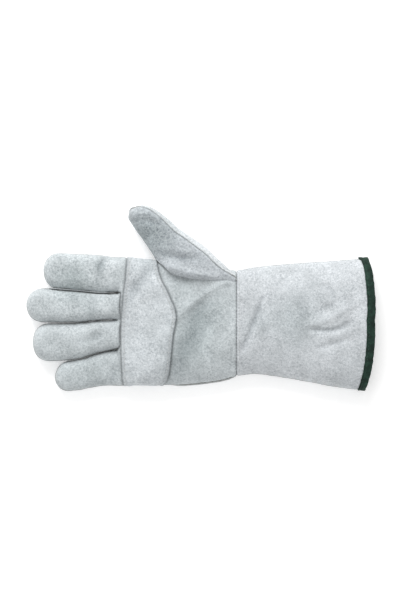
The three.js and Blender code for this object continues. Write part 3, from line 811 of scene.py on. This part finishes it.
def makeThumbForm():
    around = 112
    turn = np.linspace(0, 2 * math.pi, 721)[:-1]
    outward = signedPower(np.cos(turn), 2 / thumb["square"])
    upward = signedPower(np.sin(turn), 2 / thumb["square"])
    straight, closing = 0.93, 0.0755  # shares of its length before and in the rounded tip
    ending = straight + 0.075 * np.sin(np.linspace(0, math.pi / 2, 12))[1:]
    shares = np.concatenate([np.linspace(-0.04, straight, 104), ending])
    sections = []
    for share in shares:
        s = thumbSection(min(share, 0.99))
        rounded = math.sqrt(max(0.0, 1 - (max(0.0, share - straight) / closing) ** 2))
        close = rounded * 0.35 + 0.65 if share > straight else 1
        if share > 0.99:
            close = rounded * 0.9 + 0.05
        out = s["halfWidth"] * close * outward
        z = s["height"] + s["halfThick"] * close * upward + s["slope"] * out
        sections.append(evenRing(thumbPoints(share, s["middle"] + out, np.maximum(z, 0)), around))
    points, faces = capped(*loft(sections), around)
    tip = ease(thumbPlace(points)[0], 0.9, 0.99)
    return relax(points, faces, 0.5 * tip, 5), faces


thumbBasePoints, thumbBaseFaces = makeThumbForm()
thumbNormals = normalsOf(thumbBasePoints, thumbBaseFaces)


def aboveThumbSeam(points):
    return thumbSeamFrame(points)[0]


def clearOfHand(points):
    return heightOver(points, handBase) + thumb["sunk"]


def thumbPanel(fields, depth=1.0):
    points, faces, values = panelOf(thumbBasePoints, thumbBaseFaces, thumbNormals, fields)
    normals = unit(values)
    above, out, share = thumbSeamFrame(points)
    place = share * thumb["length"]
    lower = foldDepth(points, thumbFolds)
    base = np.maximum(heightOver(points, handBase), 0)
    # the seam with the hand shows beside the palm and fades towards the wrist
    fade = 1 - 0.92 * ease(points[:, 0], 58, 82)
    seams = [
        seamLine(np.abs(above), place, depth, width=0.9),
        seamLine(base * 1.2, points[:, 0] + 0.5 * points[:, 1], depth=fade, gather=fade),
        seamLine(np.abs(wristField(points)), points[:, 1], **wristSeam),
    ]
    moved, weights = worn(points, normals, seams, lower, 11)
    return dict(points=moved, faces=faces, normals=normals, weights=weights, above=above, out=out, share=share)


frontBase = thumbPanel([wristField, clearOfHand, aboveThumbSeam])
rearBase = thumbPanel([wristField, clearOfHand, lambda p: -aboveThumbSeam(p)], -0.6)
thumbFrontPanel = panelObject("thumbFrontLeather", frontBase)
thumbBackPanel = panelObject("thumbBackLeather", rearBase)
print("thumb cut")

# The tape folded over the cuff's hem
# Beside a stitch the tape dips; at the thumb's side its ends overlap and the inner one reaches back
tape = dict(
    width=6.8,
    thickness=0.8,
    gap=0.25,
    rows=10,  # of the cuff's mesh rows that it can cover
    dip=0.28,
    overlap=0.45,
    hook=2.4,
)


def cuffGrid():
    around = 300
    stations = np.linspace(wristX, hemX, 121)
    return np.array([sleeveSection(float(max(x, wristX + 1e-6)), around) for x in stations])


cuffRings = cuffGrid()
cuffPoints, cuffFaces = loft(list(cuffRings))
cuffNormals = normalsOf(cuffPoints, cuffFaces)
if (cuffNormals[:, 2] * (cuffPoints[:, 2] - 15)).sum() < 0:
    cuffFaces = cuffFaces[:, ::-1]
    cuffNormals = -cuffNormals


def cuffSeams(points, depth=1.0):
    return [
        seamLine(np.abs(sideField(points)), points[:, 0], depth, gather=0.6),
        seamLine(np.abs(wristField(points)), points[:, 1], depth=0.6, width=0.7, gather=0.5, dashed=0.75),
    ]


def cuffPanel(fields, depth=1.0):
    points, faces, values = panelOf(cuffPoints, cuffFaces, cuffNormals, fields)
    normals = unit(values)
    floor = cuffLift(points[:, 0])
    moved, weights = worn(points, normals, cuffSeams(points, depth), foldDepth(points, folds), 21, floor)
    return dict(points=moved, faces=faces, normals=normals, weights=weights)


cuffFrontBase = cuffPanel([sideField])
cuffBackBase = cuffPanel([lambda p: -sideField(p)], -0.5)
cuffFrontPanel = panelObject("cuffFrontLeather", cuffFrontBase)
cuffBackPanel = panelObject("cuffBackLeather", cuffBackBase)


def makeTape():
    rings = cuffRings[-tape["rows"] :]
    shape = rings.shape
    flat = rings.reshape(-1, 3)
    normals = cuffNormals.reshape(cuffRings.shape)[-tape["rows"] :].reshape(-1, 3)
    moved, _ = worn(flat, normals, cuffSeams(flat, -0.5)[:1], foldDepth(flat, folds), 21, cuff["lift"])
    leather = moved.reshape(shape)
    normals = normals.reshape(shape)
    thick, gap = tape["thickness"], tape["gap"]
    place = np.arange(shape[1]) * 1.05  # mm round the hem
    rows = []
    along = unit(leather[-1] - leather[-4])
    out = gap + thick
    # the tape's ends overlap at the thumb's side
    joined = np.exp(-((np.minimum(place, place[-1] - place) / 6) ** 4))

    def row(i, lift, ahead=0.0):
        gathers = 0.16 * lineNoise(place, 1.9, 31 + int(i)) + 0.12 * lineNoise(place, 5, 3)
        height = lift + (gathers if lift > 0 else 0) + (tape["overlap"] * joined if lift > 0.5 else 0)
        ahead = ahead + 0.45 * lineNoise(place, 14, 8) + 0.3 * lineNoise(place, 4, 9)
        return leather[i] + normals[i] * np.reshape(height, (-1, 1)) + along * np.reshape(ahead, (-1, 1))

    last = shape[0] - 1
    first = last - int(round(tape["width"] / (cuff["length"] / (len(cuffRings) - 1))))
    hook = -tape["hook"] * joined * (np.arange(shape[1]) < shape[1] / 2)
    rows.append(row(first, 0.05, hook - 0.1))
    rows.append(row(first, out * 0.8, hook - 0.25))
    rows.append(row(first, out * 1.15, hook * 0.9 + 0.35))
    for i in range(first + 1, last + 1):
        stitch = tape["dip"] if i == first + 2 else 0
        rows.append(row(i, out - stitch))
    inner = -glove["leather"] - out
    for a in np.linspace(0, math.pi, 7)[1:-1]:
        middle, half = (out + inner) / 2, (out - inner) / 2
        rows.append(row(last, middle + half * math.cos(a), half * 0.75 * math.sin(a)))
    for i in range(last, first + 1, -1):
        rows.append(leather[i] + normals[i] * inner)
    rows = np.array(rows)
    rows[:, :, 2] = np.maximum(rows[:, :, 2], 0.05)
    points, faces = loft(list(rows))
    centre = points.mean(0)
    outward = normalsOf(points, faces)[: shape[1] * 6]
    if (outward[:, 2] * (points[: shape[1] * 6, 2] - centre[2])).sum() < 0:
        faces = faces[:, ::-1]
    made = makeObject("hemTape", points, faces)
    solid = made.modifiers.new("tape", "SOLIDIFY")
    solid.thickness = thick / 1000
    solid.offset = -1
    return made, rows


hemTape, tapeRows = makeTape()
print("cuff and tape made")


# A welt is a strip of leather caught in a seam, with its raw edge showing
def sweep(name, centres, outward, along, proud, depth, thick, seed):
    crown = [(0.5, -0.5), (0.9, -0.38), (1.0, 0.0), (0.9, 0.38), (0.5, 0.5)]
    profile = [(-depth, -0.5)] + [(proud * a, b) for a, b in crown] + [(-depth, 0.5)]
    side = unit(np.cross(along, outward))
    jitter = noise(centres, 1.6, seed) * 0.22 + noise(centres, 5, seed + 1) * 0.25
    sections = []
    for i in range(len(centres)):
        grow = min(1, 0.25 + min(i, len(centres) - 1 - i) / 6)
        ring = [(a * grow + jitter[i] if a > 0 else a, b) for a, b in profile]
        sections.append(np.array([centres[i] + outward[i] * a + side[i] * b * thick for a, b in ring]))
    points, faces = capped(*loft(sections), len(profile))
    return makeObject(name, points, faces)


thumbStrip = dict(proud=2.1, depth=2.5, thick=1.5, seed=41)
indexStrip = dict(proud=4.5, depth=3, thick=1.1, seed=47)


def makeThumbWelt():
    moved, share = frontBase["points"], frontBase["share"]
    onSeam = (np.abs(frontBase["above"]) < 0.09) & (frontBase["out"] > 2)
    edge = onSeam & (moved[:, 0] < wristX - 5) & (share < 0.985)
    order = np.argsort(share[edge])
    line, facing = moved[edge][order], frontBase["normals"][edge][order]
    travelled = lengthsAlong(line)
    at = np.arange(1, travelled[-1] - 1, 1.0)
    centres = pointsAt(at, travelled, line)
    facing = pointsAt(at, travelled, facing)
    for _ in range(8):
        centres[1:-1] = (centres[:-2] + centres[2:] + 2 * centres[1:-1]) / 4
        facing[1:-1] = (facing[:-2] + facing[2:] + 2 * facing[1:-1]) / 4
    facing = unit(facing)
    along = unit(np.gradient(centres, axis=0))
    return sweep("thumbWeltStrip", centres, facing, along, **thumbStrip)


thumbWelt = makeThumbWelt()


def makeFingerWelt():
    x = np.arange(-71, -9, 1.0)
    y = smooth(fingerLines, "first", -x / fingers["length"]) + 0.2
    z = seamHeight(x) + 1.0
    centres = np.stack([x, y, z], 1)
    outward = np.tile([0.0, 0.1, 1.0], (len(x), 1))
    return sweep("indexWelt", centres, unit(outward), unit(np.gradient(centres, axis=0)), **indexStrip)


fingerWelt = makeFingerWelt()

# Nap: loose fibres standing off the brushed hide, thickest along its edges
nap = dict(
    perPanel=5200,  # fibres on each panel
    length=1.3,
    width=0.14,
    lean=0.8,  # 0 stands straight up
)


def makeNap(name, panels):
    random = np.random.default_rng(12)
    corners = []
    for base in panels:
        points, faces, weights = base["points"], base["faces"], base["weights"]
        a, b, c = points[faces[:, 0]], points[faces[:, 1]], points[faces[:, 2]]
        across = np.cross(b - a, c - a)
        area = np.linalg.norm(across, axis=1)
        liking = area * (0.5 + 3 * weights["groove"][faces].mean(1)) * (a[:, 2] > 0.6)
        chosen = random.choice(len(faces), nap["perPanel"], p=liking / liking.sum())
        u, v = random.random((2, len(chosen), 1))
        flip = (u + v) > 1
        u, v = np.where(flip, 1 - u, u), np.where(flip, 1 - v, v)
        root = a[chosen] + u * (b - a)[chosen] + v * (c - a)[chosen]
        normal = unit(across[chosen])
        lean = unit(np.cross(normal, random.normal(size=(len(chosen), 3))))
        side = np.cross(normal, lean)
        length = nap["length"] * random.uniform(0.35, 1, (len(chosen), 1))
        leaning = nap["lean"] * random.uniform(0.4, 1.6, (len(chosen), 1))
        tip = root + length * unit(normal + leaning * lean)
        half = side * nap["width"] / 2
        root = root - normal * 0.1
        corners.append(np.stack([root - half, root + half, tip], 1).reshape(-1, 3))
    points = np.vstack(corners)
    points[:, 2] = np.maximum(points[:, 2], 0.02)
    return makeObject(name, points, np.arange(len(points)).reshape(-1, 3))


nappedPanels = (backBase, palmBase, middleBase, frontBase, rearBase, cuffFrontBase, cuffBackBase)
suedeNap = makeNap("suedeNap", nappedPanels)
print("nap raised")

# Cotton thread of the stitches
thread = dict(
    diameter=0.75,
    pitch=3.2,
    length=2.3,
    sink=0.45,  # how deep a stitch's ends dive in
)


# Stitches along a line: each is a short rounded piece of thread that dives in at both ends
def makeStitches(name, line, facing, pitch=None, length=None, diameter=None, sink=None):
    pitch, length = pitch or thread["pitch"], length or thread["length"]
    diameter, sink = diameter or thread["diameter"], thread["sink"] if sink is None else sink
    travelled = lengthsAlong(line)
    steps, sides = 7, 7
    turns = np.linspace(0, 2 * math.pi, sides + 1)[:-1]
    arch = np.sin(np.linspace(0, math.pi, steps)) ** 0.6
    count = int(travelled[-1] // pitch)
    points, faces, base = [], [], 0
    wobble = noise(np.stack([np.arange(count + 1) * 3.7] * 3, 1), 1.3, len(name))
    for k in range(count):
        start = (k + 0.25 + 0.08 * wobble[k]) * pitch
        at = start + length * np.linspace(0, 1, steps)
        centre = pointsAt(at, travelled, line)
        normal = unit(pointsAt(at, travelled, facing))
        along = unit(np.gradient(centre, axis=0))
        side = unit(np.cross(along, normal))
        centre = centre + normal * ((arch - 1) * sink + 0.12 * diameter)[:, None] + side * 0.12 * wobble[k]
        radius = diameter / 2 * (0.75 + 0.25 * arch)
        for j in range(steps):
            for a in turns:
                points.append(centre[j] + radius[j] * (side[j] * math.cos(a) + normal[j] * math.sin(a)))
        for j in range(steps - 1):
            for a in range(sides):
                p, q = base + j * sides + a, base + j * sides + (a + 1) % sides
                faces.append((p, p + sides, q + sides, q))
        end = base + (steps - 1) * sides
        faces.append(tuple(range(base + sides - 1, base - 1, -1)))
        faces.append(tuple(range(end, end + sides)))
        base = end + sides
    return makeObject(name, np.array(points), faces)


# Points of a plan line dropped onto a surface, with the surface's slope there
def dropped(path, tree, step=0.8):
    line, facing = [], []
    for x, y in smoothPath(path, step):
        hit, normal, _, _ = tree.ray_cast(Vector((x, y, 90)), Vector((0, 0, -1)))
        if hit is not None and normal.z > 0.12:
            line.append(hit)
            facing.append(normal)
    return np.array(line), np.array(facing)


# The line a distance inside an outline's edge
def insetPath(path, distance):
    line = smoothPath(path, 1.5)
    along = unit(np.gradient(line, axis=0))
    return line + distance * np.stack([-along[:, 1], along[:, 0]], 1)


patchTree = surfaceTree(patchPoints, patchFaces)
cuffTree = surfaceTree(cuffFrontBase["points"], cuffFrontBase["faces"])

leftRow = makeStitches("patchLeftStitches", *dropped(insetPath(patch["left"], patch["inset"]), patchTree))
rightRow = makeStitches("patchRightStitches", *dropped(insetPath(patch["right"], -patch["inset"]), patchTree))
wristLine = [(wristX + 2.6, y) for y in np.linspace(22, -74, 12)]
wristRow = makeStitches("wristStitches", *dropped(wristLine, cuffTree), pitch=3.0)
tapeLine = tapeRows[4]  # beside the tape's inner edge
hemMiddle = (0, -25, 18)
tapeFacing = unit(tapeLine - (tapeLine * (1, 0, 0) + hemMiddle))
tapeRow = makeStitches("tapeStitches", tapeLine, tapeFacing, pitch=3.4, length=2.6, diameter=0.6, sink=0.5)
print("welts and stitches made")


# A hex colour as linear values
def linear(code):
    parts = [int(code[i : i + 2], 16) / 255 for i in (1, 3, 5)]
    return tuple(c / 12.92 if c <= 0.04045 else ((c + 0.055) / 1.055) ** 2.4 for c in parts) + (1.0,)


# Adds a node with its settings; inputs are values, or (node, output) pairs to link from
def add(tree, kind, settings=None, **inputs):
    node = tree.nodes.new(kind)
    for key, value in (settings or {}).items():
        setattr(node, key, value)
    for key, value in inputs.items():
        numbered = key[0] == "i" and key[1:].isdigit()
        socket = node.inputs[int(key[1:]) if numbered else key.replace("_", " ")]
        if isinstance(value, tuple) and hasattr(value[0], "outputs"):
            tree.links.new(value[0].outputs[value[1]], socket)
        else:
            socket.default_value = value
    return node


def ramp(tree, source, stops):
    node = add(tree, "ShaderNodeValToRGB", i0=source)
    while len(node.color_ramp.elements) < len(stops):
        node.color_ramp.elements.new(0.5)
    for element, (place, value) in zip(node.color_ramp.elements, stops):
        element.position = place
        element.color = value if isinstance(value, tuple) else (value, value, value, 1)
    return node


def mixed(tree, mode, factor, a, b):
    return add(tree, "ShaderNodeMix", dict(data_type="RGBA", blend_type=mode), i0=factor, i6=a, i7=b)


# A pattern's scale from its real size
def scaleFor(mm):
    return 1000 / mm


def startMaterial(name):
    made = bpy.data.materials.new(name)
    made.use_nodes = True
    tree = made.node_tree
    shader = tree.nodes["Principled BSDF"]
    place = add(tree, "ShaderNodeTexCoord")
    return made, tree, shader, (place, "Object")


suede = dict(
    mottle=2.1,  # mm, size of the brushed tufts
    grain=0.8,
    cloud=19.0,
    seamShadeAndDirtStrength=0.72,  # how dark the seams are painted, with shade and dirt
    bump=0.42,  # mm
)


# Split cowhide with its nap brushed every way: pale grey tufts, darker between them, painted shade and dirt along the
# seams, grime and painted shade in greyer places, and painted shade in the fold dents
def splitSuede(name, colour, dark, light, seamShadeAndDirtStrength=1.0):
    made, tree, shader, place = startMaterial(name)
    cloud = add(tree, "ShaderNodeTexNoise", Vector=place, Scale=scaleFor(suede["cloud"]), Detail=3.0, Roughness=0.6)
    mottle = add(tree, "ShaderNodeTexNoise", Vector=place, Scale=scaleFor(suede["mottle"]), Detail=4.0, Roughness=0.65)
    grain = add(tree, "ShaderNodeTexNoise", Vector=place, Scale=scaleFor(suede["grain"]), Detail=2.0, Roughness=0.6)
    tone = ramp(tree, (mottle, "Fac"), [(0.3, linear(dark)), (0.5, linear(colour)), (0.7, linear(light))])
    coarse = add(tree, "ShaderNodeAttribute", dict(attribute_name="coarse"))
    base = mixed(tree, "MIX", (coarse, "Fac"), linear(colour), (tone, "Color"))
    wide = ramp(tree, (cloud, "Fac"), [(0.34, linear("#d6d7d7")), (0.62, linear("#ffffff"))])
    base = mixed(tree, "MULTIPLY", 0.55, (base, 2), (wide, "Color"))
    fine = ramp(tree, (grain, "Fac"), [(0.34, linear("#c4c7c9")), (0.6, linear("#ffffff"))])
    base = mixed(tree, "MULTIPLY", 0.62, (base, 2), (fine, "Color"))
    # painted shade and dirt along the seams, the patch's edges and the stitch dimples
    groove = add(tree, "ShaderNodeAttribute", dict(attribute_name="groove"))
    seamShadeAndDirtFactor = add(tree, "ShaderNodeMath", dict(operation="MULTIPLY"), i0=(groove, "Fac"), i1=suede["seamShadeAndDirtStrength"] * seamShadeAndDirtStrength)
    base = mixed(tree, "MIX", (seamShadeAndDirtFactor, 0), (base, 2), linear("#54585a"))
    # greyer and greener: grime from handling, and painted shade where the surface turns from the light
    grey = add(tree, "ShaderNodeAttribute", dict(attribute_name="grey"))
    grimeAndShadeAmount = add(tree, "ShaderNodeMath", dict(operation="MULTIPLY"), i0=(grey, "Fac"), i1=0.75)
    base = mixed(tree, "MULTIPLY", (grimeAndShadeAmount, 0), (base, 2), linear("#d3dad9"))
    # painted shade in the fold dents
    hollow = add(tree, "ShaderNodeAttribute", dict(attribute_name="hollow"))
    shade = ramp(tree, (hollow, "Fac"), [(0.0, linear("#ffffff")), (0.9, linear("#c4c7c9"))])
    base = mixed(tree, "MULTIPLY", 0.8, (base, 2), (shade, "Color"))
    height = add(tree, "ShaderNodeMath", dict(operation="MULTIPLY_ADD"), i0=(mottle, "Fac"), i1=1.6, i2=(grain, "Fac"))
    bump = add(tree, "ShaderNodeBump", Strength=0.75, Distance=suede["bump"] / 1000, Height=(height, 0))
    tree.links.new(base.outputs[2], shader.inputs["Base Color"])
    tree.links.new(bump.outputs[0], shader.inputs["Normal"])
    shader.inputs["Roughness"].default_value = 0.95
    shader.inputs["IOR"].default_value = 1.4
    shader.inputs["Specular IOR Level"].default_value = 0.25
    shader.inputs["Sheen Weight"].default_value = 0.25
    shader.inputs["Sheen Roughness"].default_value = 0.5
    return made


# Cut edge of the hide: a lighter, fibrous line
def rawEdge(name, colour, dark):
    made, tree, shader, place = startMaterial(name)
    fibres = add(tree, "ShaderNodeTexNoise", Vector=place, Scale=scaleFor(0.7), Detail=3.0)
    tone = ramp(tree, (fibres, "Fac"), [(0.35, linear(dark)), (0.62, linear(colour))])
    bump = add(tree, "ShaderNodeBump", Strength=0.8, Distance=0.0003, Height=(fibres, "Fac"))
    tree.links.new(tone.outputs[0], shader.inputs["Base Color"])
    tree.links.new(bump.outputs[0], shader.inputs["Normal"])
    shader.inputs["Roughness"].default_value = 0.97
    shader.inputs["Specular IOR Level"].default_value = 0.2
    return made


# Twisted cotton thread: matt, with a fine slanting ply
def cottonThread(name, colour, dark):
    made, tree, shader, place = startMaterial(name)
    ply = add(tree, "ShaderNodeTexNoise", Vector=place, Scale=scaleFor(0.4), Detail=2.0)
    tone = ramp(tree, (ply, "Fac"), [(0.35, linear(dark)), (0.6, linear(colour))])
    tree.links.new(tone.outputs[0], shader.inputs["Base Color"])
    shader.inputs["Roughness"].default_value = 0.85
    return made


# Woven cotton tape: fine ribs across it, dull green, in paler and darker patches
def wovenTape(name, colour, dark, light):
    made, tree, shader, place = startMaterial(name)
    ribs, picks = (
        add(
            tree,
            "ShaderNodeTexWave",
            dict(bands_direction=way),
            Vector=place,
            Scale=scaleFor(pitch) / 6.28,
            Distortion=1.2,
            Detail=1.0,
        )
        for way, pitch in (("X", 0.62), ("Y", 0.5))
    )
    cloud = add(tree, "ShaderNodeTexNoise", Vector=place, Scale=scaleFor(6.0), Detail=4.0, Roughness=0.6)
    weave = add(tree, "ShaderNodeMath", dict(operation="MULTIPLY"), i0=(ribs, "Fac"), i1=(picks, "Fac"))
    tone = ramp(tree, (cloud, "Fac"), [(0.35, linear(dark)), (0.52, linear(colour)), (0.72, linear(light))])
    gaps = ramp(tree, (weave, 0), [(0.0, linear("#a8b0ac")), (0.5, linear("#ffffff"))])
    base = mixed(tree, "MULTIPLY", 0.7, (tone, "Color"), (gaps, "Color"))
    bump = add(tree, "ShaderNodeBump", Strength=0.6, Distance=0.00018, Height=(weave, 0))
    tree.links.new(base.outputs[2], shader.inputs["Base Color"])
    tree.links.new(bump.outputs[0], shader.inputs["Normal"])
    shader.inputs["Roughness"].default_value = 0.88
    shader.inputs["Specular IOR Level"].default_value = 0.3
    return made


handSuede = splitSuede("split suede, brushed grey", "#c9cfd1", "#9fa6a9", "#e0e5e7")
# the thumb front gets a darker copy of the hand's suede, painted shade of its face turned from the light; the backs get
# a paler copy, painted light
thumbShadedSuede = splitSuede("split suede, thumb front, darker for painted shade", "#c3c8cc", "#8f959a", "#dfe4e6")
litBackSuede = splitSuede("split suede, backs, paler for painted light", "#dce0e2", "#b2b7ba", "#eff2f4")
cuffSuede = splitSuede("split suede, pale cuff", "#cfd3d6", "#a6abaf", "#e6e9ec")
patchSuede = splitSuede("split suede, firm palm patch", "#d0d5d8", "#a6acb0", "#e8ecee")
insideSuede = splitSuede("split suede, flesh side inside", "#a9a9a4", "#83827c", "#c0c0bb", 0.5)
edgeSuede = rawEdge("split suede, cut edge", "#c9cccb", "#8b8f90")
weltSuede = rawEdge("split suede, welt with a torn edge", "#dadedf", "#92989b")
napFibre = rawEdge("split suede, loose fibres of the nap", "#dfe3e5", "#aab0b3")
paleWelt = rawEdge("split suede, narrow finger welt", "#e2e5e6", "#a9aeb1")
greyThread = cottonThread("cotton thread, grey and grubby", "#d2d4d3", "#8d9193")
greenThread = cottonThread("cotton thread, dark green", "#2f483c", "#1b2b24")
greenTape = wovenTape("cotton tape, woven and faded green", "#1d362c", "#12251e", "#2d4a3d")
print("materials made")

for obj, suedeUsed in (
    (backPanel, litBackSuede),
    (palmPanel, handSuede),
    (middlePanel, handSuede),
    (palmPatch, patchSuede),
    (thumbFrontPanel, thumbShadedSuede),
    (thumbBackPanel, litBackSuede),
    (cuffFrontPanel, cuffSuede),
    (cuffBackPanel, cuffSuede),
):
    for used in (suedeUsed, insideSuede, edgeSuede):
        obj.data.materials.append(used)
for obj, used in (
    (suedeNap, napFibre),
    (thumbWelt, weltSuede),
    (fingerWelt, paleWelt),
    (hemTape, greenTape),
    (leftRow, greyThread),
    (rightRow, greyThread),
    (wristRow, greyThread),
    (tapeRow, greenThread),
):
    obj.data.materials.append(used)

# What each piece stands for
for obj, node, slot in (
    (backPanel, "back_panel", "split_leather"),
    (palmPanel, "palm_panel", "split_leather"),
    (middlePanel, "middle_ring_front", "split_leather"),
    (palmPatch, "palm_patch", "patch_leather"),
    (thumbFrontPanel, "thumb_front", "split_leather"),
    (thumbBackPanel, "thumb_back", "split_leather"),
    (thumbWelt, "thumb_welt", "welt_leather"),
    (cuffFrontPanel, "cuff_front", "cuff_leather"),
    (cuffBackPanel, "cuff_back", "cuff_leather"),
    (hemTape, "cuff_binding", "green_tape"),
):
    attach(obj, "root")
    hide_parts(node)
for obj in (suedeNap, fingerWelt, leftRow, rightRow, wristRow, tapeRow):
    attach(obj, "root")

# Floor, light and camera
floorMesh = bpy.data.meshes.new("floor")
reach, under = 4, -0.0002
corners = [(x * reach, y * reach, under) for x, y in ((-1, -1), (1, -1), (1, 1), (-1, 1))]
floorMesh.from_pydata(corners, [], [(0, 1, 2, 3)])
floorObject = bpy.data.objects.new("floor", floorMesh)
bpy.context.scene.collection.objects.link(floorObject)
paper, _, paperShader, _ = startMaterial("paper, white and matt")
paperShader.inputs["Base Color"].default_value = linear("#f7f7f7")
paperShader.inputs["Roughness"].default_value = 0.95
paperShader.inputs["Emission Color"].default_value = (1, 1, 1, 1)
paperShader.inputs["Emission Strength"].default_value = 0.26  # a lit sheet, so that shadows stay faint
floorMesh.materials.append(paper)

studio = dict(
    world=0.83,
    key=44.5,
    keyPlace=(-0.4, 1.9, 1.35),
    keySize=1.4,
)
world = bpy.data.worlds.new("studio")
world.use_nodes = True
world.node_tree.nodes["Background"].inputs[0].default_value = (1, 1, 1, 1)
world.node_tree.nodes["Background"].inputs[1].default_value = studio["world"]
bpy.context.scene.world = world
key = bpy.data.lights.new("window", "AREA")
key.energy = studio["key"]
key.size = studio["keySize"]
keyObject = bpy.data.objects.new("window", key)
bpy.context.scene.collection.objects.link(keyObject)
keyObject.location = studio["keyPlace"]
keyObject.rotation_euler = (Vector((0, 0, 0)) - keyObject.location).to_track_quat("-Z", "Y").to_euler()

camera = bpy.data.cameras.new("camera")
camera.lens = 240
camera.clip_end = 20
camera.sensor_width = 36
cameraObject = bpy.data.objects.new("camera", camera)
bpy.context.scene.collection.objects.link(cameraObject)
cameraObject.location = (0.00014, -0.00248, 4.0222)
bpy.context.scene.camera = cameraObject
bpy.context.scene.view_settings.view_transform = "Standard"
print("studio set")
